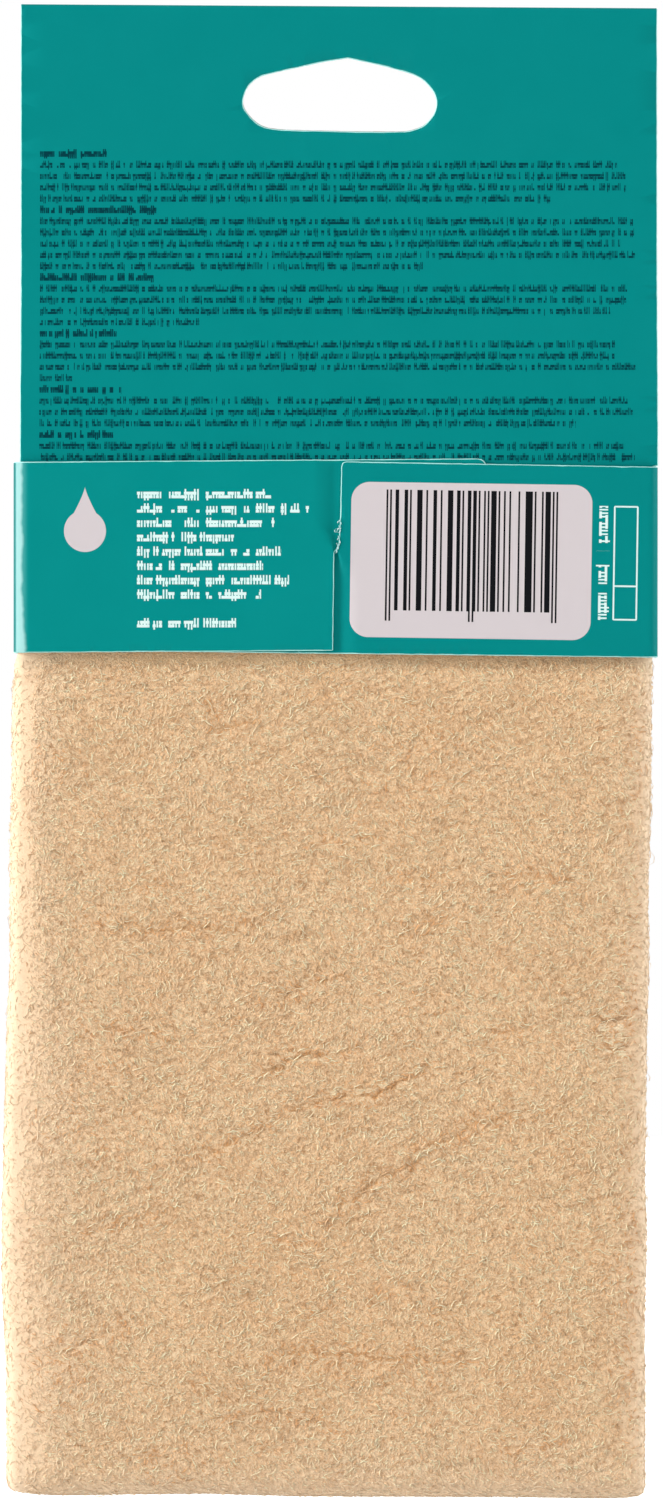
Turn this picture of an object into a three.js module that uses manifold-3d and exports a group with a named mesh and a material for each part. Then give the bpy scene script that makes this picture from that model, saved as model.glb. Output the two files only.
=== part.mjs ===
// A chamois leather folded into a flat pack, held by a printed hanging card.
// The card is one die-cut board, built here as the panels between its creases: the header hangs
// the pack, and two wings close round the leather as a sleeve that their own tongues lock.

import * as THREE from "three";
import { mergeVertices } from "three/addons/utils/BufferGeometryUtils.js";
import Module from "manifold-3d";

const wasm = await Module();
wasm.setup();

// Sizes are in millimetres. +Z is up, -Y is the side where the wings lock, +X is to its right.
// The origin is the middle of the hanging slot, half way between the header's two layers.

// Board
const boardThickness = 0.4;
const seatGap = 0.3; // between two surfaces that lie on each other
const overrun = 5; // how far a cutting outline stands past what it cuts

// Header
const headerNarrowing = 1.15; // how much less wide than the sleeve's outside
const headerShift = -0.15; // the header's middle, from the slot's middle
const headerHeight = 83.5; // top edge to the top of the sleeve
const slotDrop = 16; // top edge to the slot's middle
const spreadHeight = 40; // over which the two layers part to go round the leather
const spreadFoot = 1.5; // straight length between the parting and the sleeve

// Hanging slot: round ends, a straight bottom and a low peak in the middle of the top
const slotWidth = 35.6;
const slotHeight = 13.5;
const slotEndRadius = 5.3;
const slotPeakRun = 2.5; // half the length of the rounded peak
const layerSlipX = 0.5; // the front layer's slot against the back layer's
const layerSlipZ = 0.3;
const layerTurn = THREE.MathUtils.degToRad(1);

// Sleeve
const sleeveHeight = 34.9;
const sleeveShift = -0.8; // the sleeve's middle, from the slot's middle
const sideSlack = 0.45; // leather to side wall
const faceSlack = 0.35; // leather to panel
const leftFrontBend = 1; // bend radii at the middle of the board
const leftBackBend = 3;
const rightFrontBend = 0.5;
const rightBackBend = 1.5;
const tailLength = 22; // of the header's back layer, inside the sleeve
const tailNarrowing = 2.75; // how much less wide than the sleeve's inside

// Wings and tongues
const leftWingTilt = THREE.MathUtils.degToRad(0.36);
const rightWingTilt = THREE.MathUtils.degToRad(0.85);
const rightWingDrop = 0.9; // the right wing closed this much lower
const seamX = -0.1; // the right wing's upper cut edge, from the slot's middle
const seamStep = 1.1; // the left wing's lower cut edge stops this much short of it
const lockHeightShare = 0.47; // of the wing's height, the part above the tongues' crossing
const dipRun = 4; // over which a tongue dips under the other wing
const dipLead = 0.6; // from the end of the dip to the cut edge above it
const leftTongueReach = 27; // past the seam
const rightTongueReach = 35;
const tongueCornerRadius = 2;
const wingCornerRadius = 1;

// Chamois skin, folded in thirds across and then in half
const skinThickness = 1;
const layerGap = 0.4;
const halvesGap = 0.6;
const foldedWidth = 116.35; // in the sleeve
const foldedLength = 187;
const leatherDrop = 1.9; // from the sleeve's top to the leather's top end
const flapInset = 2.5; // a flap's cut edge, from the far fold
const leatherLean = THREE.MathUtils.degToRad(0.4);
const leftBulge = 1.8; // the most that the left fold stands out below the sleeve
const rightDraw = 0.8; // the most that the right fold draws in
const loftShare = 0.15; // how much the freed layers swell

// Down the leather: share of the length, of the left bulge, of the right draw, and of the loft
const outlineShares = [
  [0, 0, 0, 0],
  [0.18, 0, 0, 0],
  [0.27, 0.18, 0.4, 0.6],
  [0.38, 0.47, 0.6, 0.9],
  [0.53, 0.62, 0.65, 1],
  [0.66, 0.8, 1, 1],
  [0.78, 1, 0.9, 0.9],
  [0.9, 0.5, 0.6, 0.6],
  [1, 0.33, 0.4, 0.35],
];

// How finely the curves are stepped
const bottomFoldSteps = 6;
const innerFoldSteps = 5;
const outerFoldSteps = 7;
const partingSteps = 8;
const topFoldSteps = 6;
const wallBendSteps = 7;
const dipSteps = 6;
const outlineSteps = 10;
const mergeTolerance = 1e-4;

// Places that follow from the sizes
const headerPlane = (seatGap + boardThickness) / 2;
const layerPitch = skinThickness + layerGap;
const flapPlane = (halvesGap + skinThickness) / 2;
const packHalfDepth = flapPlane + 2 * layerPitch + skinThickness / 2;
const panelPlane = packHalfDepth + faceSlack + boardThickness / 2;
const tonguePlane = panelPlane + boardThickness + seatGap;
const wingPlane = tonguePlane + boardThickness + seatGap;
const topZ = slotDrop;
const sleeveTop = slotDrop - headerHeight;
const sleeveBottom = sleeveTop - sleeveHeight;
const sleeveInside = foldedWidth + 2 * sideSlack;
const leftWallX = sleeveShift - (sleeveInside + boardThickness) / 2;
const rightWallX = sleeveShift + (sleeveInside + boardThickness) / 2;
const headerWidth = sleeveInside + 2 * boardThickness - headerNarrowing;
const headerLeft = headerShift - headerWidth / 2;
const headerRight = headerShift + headerWidth / 2;
const tailWidth = sleeveInside - tailNarrowing;
const tailLeft = headerShift - tailWidth / 2;
const tailRight = headerShift + tailWidth / 2;
const leftSeamX = seamX - seamStep;

const boardColour = new THREE.Color(0x008e88);
const wingColour = new THREE.Color(0x01938f);
const skinColour = new THREE.Color(0xdbb78f);

function boardMaterial(colour) {
  return new THREE.MeshStandardMaterial({ color: colour, roughness: 0.45, metalness: 0 });
}

function skinMaterial() {
  return new THREE.MeshStandardMaterial({ color: skinColour, roughness: 0.95, metalness: 0 });
}

// Solids: a closed geometry becomes one that can be cut, and comes back as a geometry
function solidFrom(geometry) {
  const bare = geometry.index ? geometry.toNonIndexed() : geometry.clone();
  bare.deleteAttribute("normal");
  bare.deleteAttribute("uv");
  const merged = mergeVertices(bare, mergeTolerance);
  return new wasm.Manifold(
    new wasm.Mesh({
      numProp: 3,
      vertProperties: merged.attributes.position.array,
      triVerts: new Uint32Array(merged.index.array),
    }),
  );
}

function geometryFrom(solid) {
  const mesh = solid.getMesh();
  const geometry = new THREE.BufferGeometry();
  geometry.setAttribute("position", new THREE.BufferAttribute(mesh.vertProperties, 3));
  geometry.setIndex(new THREE.BufferAttribute(mesh.triVerts, 1));
  geometry.computeVertexNormals();
  return geometry;
}

// Prisms: an outline drawn in one plane of the part and carried along the axis across it
function prism(shape, length, xAxis, yAxis, zAxis, start) {
  const geometry = new THREE.ExtrudeGeometry(shape, {
    depth: length,
    bevelEnabled: false,
    curveSegments: outlineSteps,
  });
  geometry.applyMatrix4(new THREE.Matrix4().makeBasis(xAxis, yAxis, zAxis));
  geometry.translate(start.x, start.y, start.z);
  return geometry;
}

const alongX = new THREE.Vector3(1, 0, 0);
const alongY = new THREE.Vector3(0, 1, 0);
const alongZ = new THREE.Vector3(0, 0, 1);
const againstY = new THREE.Vector3(0, -1, 0);

function prismAlongX(shape, from, to) {
  return prism(shape, to - from, alongY, alongZ, alongX, new THREE.Vector3(from, 0, 0));
}

function prismAlongY(shape, from, to) {
  return prism(shape, to - from, alongX, alongZ, againstY, new THREE.Vector3(0, to, 0));
}

function prismAlongZ(shape, from, to) {
  return prism(shape, to - from, alongX, alongY, alongZ, new THREE.Vector3(0, 0, from));
}

// A bent sheet: the middle line of the board, thickened to both sides
function sheetOutline(line, thickness) {
  const sides = [[], []];
  line.forEach((point, i) => {
    const before = line[Math.max(i - 1, 0)];
    const after = line[Math.min(i + 1, line.length - 1)];
    const along = new THREE.Vector2().subVectors(after, before).normalize();
    const across = new THREE.Vector2(-along.y, along.x).multiplyScalar(thickness / 2);
    sides[0].push(point.clone().add(across));
    sides[1].push(point.clone().sub(across));
  });
  return new THREE.Shape([...sides[0], ...sides[1].reverse()]);
}

const quarterTurn = Math.PI / 2;

function arcPoints(centreX, centreY, radius, from, to, steps) {
  return Array.from({ length: steps + 1 }, (_, i) => {
    const angle = from + ((to - from) * i) / steps;
    return new THREE.Vector2(
      centreX + radius * Math.cos(angle),
      centreY + radius * Math.sin(angle),
    );
  });
}

// An S-bend from one level to another, as half a cosine wave
function easeShare(share) {
  return (1 - Math.cos(Math.PI * share)) / 2;
}

function slotPath() {
  const endX = slotWidth / 2 - slotEndRadius;
  const endZ = slotEndRadius - slotHeight / 2;
  const peakZ = slotHeight / 2;
  const slope = Math.atan2(peakZ - endZ - slotEndRadius, endX);
  const peakStartZ = peakZ - slotPeakRun * Math.tan(slope);
  const path = new THREE.Path();
  path.moveTo(-endX, endZ - slotEndRadius);
  path.lineTo(endX, endZ - slotEndRadius);
  path.absarc(endX, endZ, slotEndRadius, -Math.PI / 2, Math.PI / 2 - slope, false);
  path.lineTo(slotPeakRun, peakStartZ);
  path.quadraticCurveTo(0, peakZ, -slotPeakRun, peakStartZ);
  path.absarc(-endX, endZ, slotEndRadius, Math.PI / 2 + slope, (3 * Math.PI) / 2, false);
  return path;
}

function slippedSlotPath() {
  const points = slotPath().getPoints(outlineSteps);
  const origin = new THREE.Vector2(0, 0);
  const slip = new THREE.Vector2(layerSlipX, layerSlipZ);
  return new THREE.Path(points.map((p) => p.rotateAround(origin, layerTurn).add(slip)));
}

// The line of a header layer, from the given top point down into the sleeve
function layerLine(side, top, bottomZ) {
  const parting = sleeveTop + spreadHeight;
  const foot = sleeveTop + spreadFoot;
  const line = [...top];
  for (let i = 0; i <= partingSteps; i++) {
    const share = i / partingSteps;
    const plane = headerPlane + (panelPlane - headerPlane) * easeShare(share);
    line.push(new THREE.Vector2(side * plane, parting + (foot - parting) * share));
  }
  line.push(new THREE.Vector2(side * panelPlane, bottomZ));
  return line;
}

// Front panel: front layer of the header, bent forward to run down the front of the sleeve
function frontPanel() {
  const topOfLayer = topZ - headerPlane - boardThickness / 2 - seatGap;
  const line = layerLine(1, [new THREE.Vector2(headerPlane, topOfLayer)], sleeveBottom);
  const left = leftWallX + leftFrontBend + seatGap;
  const right = rightWallX - rightFrontBend - seatGap;
  const outline = new THREE.Shape([
    new THREE.Vector2(left, sleeveBottom - overrun),
    new THREE.Vector2(right, sleeveBottom - overrun),
    new THREE.Vector2(right, sleeveTop + seatGap),
    new THREE.Vector2(headerRight, sleeveTop + seatGap),
    new THREE.Vector2(headerRight, topZ + overrun),
    new THREE.Vector2(headerLeft, topZ + overrun),
    new THREE.Vector2(headerLeft, sleeveTop + seatGap),
    new THREE.Vector2(left, sleeveTop + seatGap),
  ]);
  outline.holes.push(slippedSlotPath());
  return bentAndCut(sheetOutline(line, boardThickness), outline);
}

// Back layer of the header: folded over at the top edge, with its tail inside the sleeve
function headerBackPanel() {
  const foldCentre = topZ - headerPlane - boardThickness / 2;
  const fold = arcPoints(0, foldCentre, headerPlane, 0, Math.PI, topFoldSteps);
  const line = layerLine(-1, fold, sleeveTop - tailLength);
  const outline = new THREE.Shape([
    new THREE.Vector2(tailLeft, sleeveTop - tailLength - overrun),
    new THREE.Vector2(tailRight, sleeveTop - tailLength - overrun),
    new THREE.Vector2(tailRight, sleeveTop + seatGap),
    new THREE.Vector2(headerRight, sleeveTop + spreadFoot),
    new THREE.Vector2(headerRight, topZ + overrun),
    new THREE.Vector2(headerLeft, topZ + overrun),
    new THREE.Vector2(headerLeft, sleeveTop + spreadFoot),
    new THREE.Vector2(tailLeft, sleeveTop + seatGap),
  ]);
  outline.holes.push(slotPath());
  return bentAndCut(sheetOutline(line, boardThickness), outline);
}

// A section bent in the YZ plane, cut to an outline in the XZ plane
function bentAndCut(section, outline) {
  const sheet = prismAlongX(section, headerLeft - overrun, headerRight + overrun);
  const cutter = prismAlongY(outline, -wingPlane - overrun, wingPlane + overrun);
  return geometryFrom(solidFrom(sheet).intersect(solidFrom(cutter)));
}

// A side wall: from the front panel's crease round the edge of the leather to the wing's crease.
// Its line is drawn as the distance in from the wall's own plane, and the height above y = 0.
function sideWall(wallX, side, frontBend, backBend, drop) {
  const frontCentre = panelPlane - frontBend;
  const backCentre = backBend - wingPlane;
  const front = arcPoints(frontBend, frontCentre, frontBend, quarterTurn, 2 * quarterTurn, wallBendSteps);
  const back = arcPoints(backBend, backCentre, backBend, 2 * quarterTurn, 3 * quarterTurn, wallBendSteps);
  const line = [...front, ...back].map((p) => new THREE.Vector2(wallX - side * p.x, p.y));
  return prismAlongZ(sheetOutline(line, boardThickness), sleeveBottom - drop, sleeveTop - drop);
}

// The wings are drawn in coordinates of their own: run, from the crease towards the seam, and
// height, up from the wing's lower edge at the crease. Both edges rise by the wing's tilt.
function wingPoint(side, run, height) {
  const creaseX = side < 0 ? leftWallX + leftBackBend + seatGap : rightWallX - rightBackBend - seatGap;
  const tilt = side < 0 ? leftWingTilt : rightWingTilt;
  const drop = side < 0 ? 0 : rightWingDrop;
  return new THREE.Vector2(creaseX - side * run, sleeveBottom - drop + height + run * Math.tan(tilt));
}

// Where the two tongues cross, which both wings share
const crossingZ = sleeveTop - sleeveHeight * lockHeightShare;

function roundedOutline(points, radii) {
  const shape = new THREE.Shape();
  points.forEach((point, i) => {
    const before = points[(i + points.length - 1) % points.length];
    const after = points[(i + 1) % points.length];
    const radius = radii[i];
    const entry = point.clone().add(before.clone().sub(point).setLength(radius));
    const exit = point.clone().add(after.clone().sub(point).setLength(radius));
    if (i === 0) shape.moveTo(entry.x, entry.y);
    else shape.lineTo(entry.x, entry.y);
    if (radius > 0) shape.quadraticCurveTo(point.x, point.y, exit.x, exit.y);
  });
  shape.closePath();
  return shape;
}

function levelAt(side, x, height) {
  const run = -side * (x - wingPoint(side, 0, 0).x);
  return wingPoint(side, run, height).y;
}

function wingPlate(outline) {
  return prismAlongY(outline, -wingPlane - boardThickness / 2, boardThickness / 2 - wingPlane);
}

// Left wing: its lower part lies over the right tongue, its upper part stops where its tongue dips
function leftWing() {
  const dipStart = seamX - dipLead - dipRun - seatGap;
  const foot = wingPoint(-1, 0, 0);
  const head = wingPoint(-1, 0, sleeveHeight);
  const outline = [
    foot,
    new THREE.Vector2(leftSeamX, levelAt(-1, leftSeamX, 0)),
    new THREE.Vector2(leftSeamX, crossingZ),
    new THREE.Vector2(dipStart, crossingZ),
    new THREE.Vector2(dipStart, levelAt(-1, dipStart, sleeveHeight)),
    head,
  ];
  return wingPlate(new THREE.Shape(outline));
}

// Right wing: its upper part lies over the left tongue, its lower part stops where its tongue dips
function rightWing() {
  const dipStart = leftSeamX + dipLead + dipRun + seatGap;
  const foot = wingPoint(1, 0, 0);
  const head = wingPoint(1, 0, sleeveHeight);
  const outline = [
    foot,
    head,
    new THREE.Vector2(seamX, levelAt(1, seamX, sleeveHeight)),
    new THREE.Vector2(seamX, crossingZ),
    new THREE.Vector2(dipStart, crossingZ),
    new THREE.Vector2(dipStart, levelAt(1, dipStart, 0)),
  ];
  return wingPlate(roundedOutline(outline, [0, 0, wingCornerRadius, 0, 0, 0]));
}

// A tongue: dips from the wing's plane to the plane under the other wing, then runs on behind it
function tongue(side, edgeX, reach, lowZ, highZ) {
  const start = edgeX + side * (dipLead + dipRun);
  const end = edgeX - side * reach;
  const line = [];
  for (let i = 0; i <= dipSteps; i++) {
    const share = i / dipSteps;
    const plane = wingPlane + (tonguePlane - wingPlane) * easeShare(share);
    line.push(new THREE.Vector2(start - side * dipRun * share, -plane));
  }
  line.push(new THREE.Vector2(end, -tonguePlane));
  const section = sheetOutline(line, boardThickness);
  const sheet = prismAlongZ(section, sleeveBottom - overrun, sleeveTop + overrun);
  const low = (x) => (side < 0 ? lowZ : levelAt(side, x, 0));
  const high = (x) => (side < 0 ? levelAt(side, x, sleeveHeight) : highZ);
  const outline = [
    new THREE.Vector2(start + side * overrun, low(start + side * overrun)),
    new THREE.Vector2(end, low(end)),
    new THREE.Vector2(end, high(end)),
    new THREE.Vector2(start + side * overrun, high(start + side * overrun)),
  ];
  const radii = [0, tongueCornerRadius, tongueCornerRadius, 0];
  const cutter = prismAlongY(roundedOutline(outline, radii), -wingPlane - overrun, 0);
  return geometryFrom(solidFrom(sheet).intersect(solidFrom(cutter)));
}

function leftTongue() {
  return tongue(-1, seamX, leftTongueReach, crossingZ + seatGap / 2, 0);
}

function rightTongue() {
  return tongue(1, leftSeamX, rightTongueReach, 0, crossingZ - seatGap / 2);
}

// The skin folded in thirds, as the middle line of its section: across is measured from the middle
// of the pack, and depth from the plane between the two halves. It runs from one flap's cut edge
// round the right fold, across the outer layer, and round the left fold to the other flap.
function thirdsLine() {
  const flapDepth = flapPlane;
  const middleDepth = flapPlane + layerPitch;
  const outerDepth = flapPlane + 2 * layerPitch;
  const half = foldedWidth / 2;
  const rightRadius = layerPitch / 2;
  const leftRadius = layerPitch;
  const rightCentre = half - rightRadius - skinThickness / 2;
  const leftCentre = leftRadius + skinThickness / 2 - half;
  return [
    new THREE.Vector2(flapInset - half, middleDepth),
    ...arcPoints(
      rightCentre,
      (middleDepth + outerDepth) / 2,
      rightRadius,
      -quarterTurn,
      quarterTurn,
      innerFoldSteps,
    ),
    ...arcPoints(leftCentre, middleDepth, leftRadius, quarterTurn, 3 * quarterTurn, outerFoldSteps),
    new THREE.Vector2(half - flapInset, flapDepth),
  ];
}

// The stations that the section is carried through: down the back half, round the bottom fold and
// up the front half. turn is 0 on the back half and half a circle on the front half.
function skinStations() {
  const down = outlineShares.map(([share, bulge, draw, loft]) => ({ share, bulge, draw, loft, turn: 0 }));
  const last = down[down.length - 1];
  const bend = Array.from({ length: bottomFoldSteps - 1 }, (_, i) => ({
    ...last,
    turn: (Math.PI * (i + 1)) / bottomFoldSteps,
  }));
  const up = [...down].reverse().map((station) => ({ ...station, turn: Math.PI }));
  return [...down, ...bend, ...up];
}

function swell(loft) {
  return 1 + loftShare * loft;
}

// Chamois skin: the section of thirds swept round the bottom fold, as one closed sheet
function chamoisSkin() {
  const section = sheetOutline(thirdsLine(), skinThickness).getPoints();
  const stations = skinStations();
  const topOfSkin = sleeveTop - leatherDrop;
  const bendDepth = packHalfDepth * swell(stations[outlineShares.length].loft);
  const bendCentre = topOfSkin - foldedLength + bendDepth;
  const positions = [];
  stations.forEach(({ share, bulge, draw, loft, turn }) => {
    section.forEach((point) => {
      const rightwards = point.x / foldedWidth + 1 / 2;
      const shift = -leftBulge * bulge * (1 - rightwards) - rightDraw * draw * rightwards;
      const depth = point.y * swell(loft);
      positions.push(
        sleeveShift + point.x + shift,
        -depth * Math.cos(turn),
        topOfSkin + (bendCentre - topOfSkin) * share - depth * Math.sin(turn),
      );
    });
  });
  const round = section.length;
  const faces = [];
  for (let station = 0; station < stations.length - 1; station++) {
    for (let i = 0; i < round; i++) {
      const here = station * round + i;
      const beside = station * round + ((i + 1) % round);
      faces.push(here, here + round, beside, beside, here + round, beside + round);
    }
  }
  // Each end is closed as a strip, between the section's two sides
  const lastStation = (stations.length - 1) * round;
  for (let i = 0; i < round / 2 - 1; i++) {
    const far = round - 1 - i;
    faces.push(i, i + 1, far, i + 1, far - 1, far);
    faces.push(lastStation + i, lastStation + far, lastStation + i + 1);
    faces.push(lastStation + i + 1, lastStation + far, lastStation + far - 1);
  }
  const geometry = new THREE.BufferGeometry();
  geometry.setAttribute("position", new THREE.Float32BufferAttribute(positions, 3));
  geometry.setIndex(faces);
  const pivotZ = sleeveTop - sleeveHeight / 2;
  geometry.translate(-sleeveShift, 0, -pivotZ);
  geometry.rotateY(leatherLean);
  geometry.translate(sleeveShift, 0, pivotZ);
  geometry.computeVertexNormals();
  return geometry;
}

const pack = new THREE.Group();

function add(name, geometry, material) {
  const mesh = new THREE.Mesh(geometry, material);
  mesh.name = name;
  pack.add(mesh);
}

add("front_panel", frontPanel(), boardMaterial(boardColour));
add("header_back_panel", headerBackPanel(), boardMaterial(boardColour));
add(
  "left_side_wall",
  sideWall(leftWallX, -1, leftFrontBend, leftBackBend, 0),
  boardMaterial(wingColour),
);
add(
  "right_side_wall",
  sideWall(rightWallX, 1, rightFrontBend, rightBackBend, rightWingDrop),
  boardMaterial(boardColour),
);
add("left_wing", leftWing(), boardMaterial(wingColour));
add("right_wing", rightWing(), boardMaterial(boardColour));
add("left_tongue", leftTongue(), boardMaterial(wingColour));
add("right_tongue", rightTongue(), boardMaterial(boardColour));
add("chamois_skin", chamoisSkin(), skinMaterial());

export default pack;
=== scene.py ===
# %% [markdown]
# # A chamois leather in its hanging card
# A chamois is one soft sueded skin. Here it is folded in thirds, then in half, and a printed
# card holds it: a header with a slot for the display hook, and two wings that wrap round the
# folded leather and lock into each other. The rigid model comes first, as a frame that nothing
# here moves. The header layers, the skin, its fibres and the shreds made below ride on its bodies.

import math

import bpy
import numpy as np
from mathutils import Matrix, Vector
from mathutils import geometry as flat_geometry


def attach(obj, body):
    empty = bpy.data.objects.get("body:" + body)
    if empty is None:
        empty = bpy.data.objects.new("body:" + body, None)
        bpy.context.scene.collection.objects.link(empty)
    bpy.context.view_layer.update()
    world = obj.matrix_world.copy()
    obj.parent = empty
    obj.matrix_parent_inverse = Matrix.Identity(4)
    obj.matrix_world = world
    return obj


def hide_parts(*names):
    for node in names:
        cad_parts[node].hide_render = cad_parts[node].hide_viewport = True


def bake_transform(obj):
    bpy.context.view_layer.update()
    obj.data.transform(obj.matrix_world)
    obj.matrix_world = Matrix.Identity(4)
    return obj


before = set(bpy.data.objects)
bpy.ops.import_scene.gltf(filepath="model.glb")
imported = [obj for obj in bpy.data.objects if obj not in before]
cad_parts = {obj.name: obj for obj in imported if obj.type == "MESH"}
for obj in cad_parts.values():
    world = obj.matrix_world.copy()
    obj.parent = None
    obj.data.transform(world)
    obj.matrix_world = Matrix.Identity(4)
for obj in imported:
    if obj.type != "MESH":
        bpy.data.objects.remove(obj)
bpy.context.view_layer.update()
MM = 0.001

# %% [markdown]
# ## Where things are
# The photograph is 663 pixels wide and 1500 high. The middle of the hanging slot is the origin,
# and a pixel is 0.183 mm, so a place read in the photograph becomes a place on the object. The
# sizes below are those of the rigid model, in metres: the board, the sleeve and the folded skin.

# %% Scale, sizes and planes
PICTURE_WIDTH, PICTURE_HEIGHT = 663, 1500
PIXEL = 0.183 * MM
SLOT_PIXEL = (339.85, 93.0)


def across(pixel_x):
    """Place from left to right of a pixel column: pixels right of the slot's middle."""
    return (np.asarray(pixel_x, float) - SLOT_PIXEL[0]) * PIXEL


def upward(pixel_y):
    """Height of a pixel row: pixels above the slot's middle."""
    return (SLOT_PIXEL[1] - np.asarray(pixel_y, float)) * PIXEL


def on_object(pixels):
    """Places across and upward of a list of points in the photograph."""
    columns, rows = np.array(pixels, float).T
    return np.column_stack([across(columns), upward(rows)])


def by_row(z, rows, values):
    """A value at a height, drawn straight between the pixel rows that it is given for."""
    return np.interp(-z, -upward(rows), values)


BOARD = 0.4 * MM
HEADER_PLANE, PANEL_PLANE, TONGUE_PLANE, WING_PLANE = 0.35 * MM, 4.65 * MM, 5.35 * MM, 6.05 * MM
TOP, SLEEVE_TOP, SLEEVE_BOTTOM = 16 * MM, -67.5 * MM, -102.4 * MM
HEADER_LEFT, HEADER_RIGHT = -58.6 * MM, 58.3 * MM
WALL_LEFT, WALL_RIGHT = -59.625 * MM, 58.025 * MM
CREASE_LEFT, CREASE_RIGHT = -56.625 * MM, 56.525 * MM
CROSSING = -83.9 * MM
RIGHT_DROP = 0.9 * MM
print("one pixel is", round(PIXEL / MM, 3), "mm")
print("the sleeve is", round((SLEEVE_TOP - SLEEVE_BOTTOM) / MM, 1), "mm high")

# %% [markdown]
# ## Camera, lamps and surroundings
# The photograph looks straight at the back of the pack from far away. A long lens does the same.
# Its frame is 1500 pixels high, which is 274.5 mm on the object. The light in the photograph is
# soft and comes mostly from the two sides, so the round edges are brighter than the flat middle.

# %% Camera
CAMERA_DISTANCE = 1.6
SENSOR = 36.0
FRAME_HEIGHT = PICTURE_HEIGHT * PIXEL
MIDDLE_HEIGHT = float(upward(PICTURE_HEIGHT / 2))
camera_data = bpy.data.cameras.new("camera")
camera_data.sensor_width = SENSOR
camera_data.lens = SENSOR * CAMERA_DISTANCE / FRAME_HEIGHT
camera_data.clip_end = 50
camera = bpy.data.objects.new("camera", camera_data)
camera.location = (float(across(PICTURE_WIDTH / 2)), -WING_PLANE - CAMERA_DISTANCE, MIDDLE_HEIGHT)
camera.rotation_euler = (math.pi / 2, 0, 0)
bpy.context.scene.collection.objects.link(camera)
bpy.context.scene.camera = camera
bpy.context.scene.view_settings.view_transform = "Standard"
print("lens", round(camera_data.lens, 1), "mm")

# %% Lamps
# The name, place, width and height in metres, and power in watts of each rectangular lamp
LAMPS = [
    ("left_softbox", (-2.4, -0.9, 0.25), 0.8, 1.8, 80.0),
    ("right_softbox", (1.6, -0.28, -0.05), 0.5, 1.4, 20.0),
    ("top_softbox", (0.0, -0.75, 1.15), 1.0, 0.4, 4.5),
    ("rear_softbox", (0.2, 1.5, 0.5), 1.6, 1.2, 9.0),
]
for name, place, width, height, power in LAMPS:
    lamp = bpy.data.lights.new(name, "AREA")
    lamp.shape, lamp.size, lamp.size_y, lamp.energy = "RECTANGLE", width, height, power
    softbox = bpy.data.objects.new(name, lamp)
    softbox.location = place
    to_pack = Vector((0, 0, MIDDLE_HEIGHT)) - Vector(place)
    softbox.rotation_euler = to_pack.to_track_quat("-Z", "Y").to_euler()
    bpy.context.scene.collection.objects.link(softbox)
print("lamps:", [row[0] for row in LAMPS])

# %% [markdown]
# ## Small helpers for materials
# A material is a net of nodes. A Reading wraps what leaves a node, so that sums, products and
# comparisons can be written as a formula: each one adds a Math node. Numbers that change over the
# surface go through nodes, and numbers that are the same everywhere are set on the shader itself.


# %% Readings and nodes
class Reading:
    """A value that changes over the surface, as it leaves a node. A comparison gives 1 or 0."""

    def __init__(self, socket):
        self.socket, self.tree = socket, socket.id_data

    def __add__(self, other):
        return maths("ADD", self, other)

    def __sub__(self, other):
        return maths("SUBTRACT", self, other)

    def __rsub__(self, other):
        return maths("SUBTRACT", other, self)

    def __mul__(self, other):
        return maths("MULTIPLY", self, other)

    def __truediv__(self, other):
        return maths("DIVIDE", self, other)

    def __mod__(self, other):
        return maths("FLOORED_MODULO", self, other)

    def __pow__(self, other):
        return maths("POWER", self, other)

    def __abs__(self):
        return maths("ABSOLUTE", self)

    def __lt__(self, other):
        return maths("LESS_THAN", self, other)

    def __gt__(self, other):
        return maths("GREATER_THAN", self, other)


def plug(node, sockets):
    """Gives each named input of a node a fixed value, or a link from a reading."""
    for key, value in sockets.items():
        if isinstance(value, Reading):
            value.tree.links.new(value.socket, node.inputs[key])
        else:
            node.inputs[key].default_value = value


def add_node(tree, kind, sockets, **settings):
    """A new node of a kind, with its inputs and settings."""
    node = tree.nodes.new(kind)
    for key, value in settings.items():
        setattr(node, key, value)
    plug(node, sockets)
    return node


def make_node(tree, kind, sockets=None, output=0, **settings):
    """The reading that leaves a new node."""
    return Reading(add_node(tree, kind, sockets or {}, **settings).outputs[output])


def maths(operation, *values):
    """The result of a Math node on readings and plain numbers."""
    tree = next(value.tree for value in values if isinstance(value, Reading))
    return make_node(tree, "ShaderNodeMath", dict(enumerate(values)), operation=operation)


def larger(first, second):
    """The larger of two values."""
    return maths("MAXIMUM", first, second)


def smaller(first, second):
    """The smaller of two values."""
    return maths("MINIMUM", first, second)


# %% Helpers that finishes share
def combine(x, y, z):
    """A vector from its X, Y and Z, of which one at least is a reading."""
    tree = next(value.tree for value in (x, y, z) if isinstance(value, Reading))
    return make_node(tree, "ShaderNodeCombineXYZ", {0: x, 1: y, 2: z})


def split(vector):
    """The X, Y and Z of a vector."""
    node = add_node(vector.tree, "ShaderNodeSeparateXYZ", {0: vector})
    return [Reading(socket) for socket in node.outputs]


def moved(vector, amount):
    """A vector with an amount added."""
    return make_node(vector.tree, "ShaderNodeVectorMath", {0: vector, 1: amount}, operation="ADD")


def between(value, low, high, to_low=0.0, to_high=1.0):
    """Value moved from low..high to to_low..to_high, smoothly, and held at the ends."""
    sockets = {"Value": value, "From Min": low, "From Max": high}
    sockets.update({"To Min": to_low, "To Max": to_high})
    return make_node(value.tree, "ShaderNodeMapRange", sockets, interpolation_type="SMOOTHSTEP")


def choose(share, first, second):
    """The second value over the first by share."""
    return make_node(share.tree, "ShaderNodeMix", {0: share, 2: first, 3: second})


def mix_colour(share, first, second):
    """The second colour over the first by share."""
    first, second = ((*c, 1) if isinstance(c, tuple) else c for c in (first, second))
    sockets = {0: share, 6: first, 7: second}
    return make_node(share.tree, "ShaderNodeMix", sockets, 2, data_type="RGBA")


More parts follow.
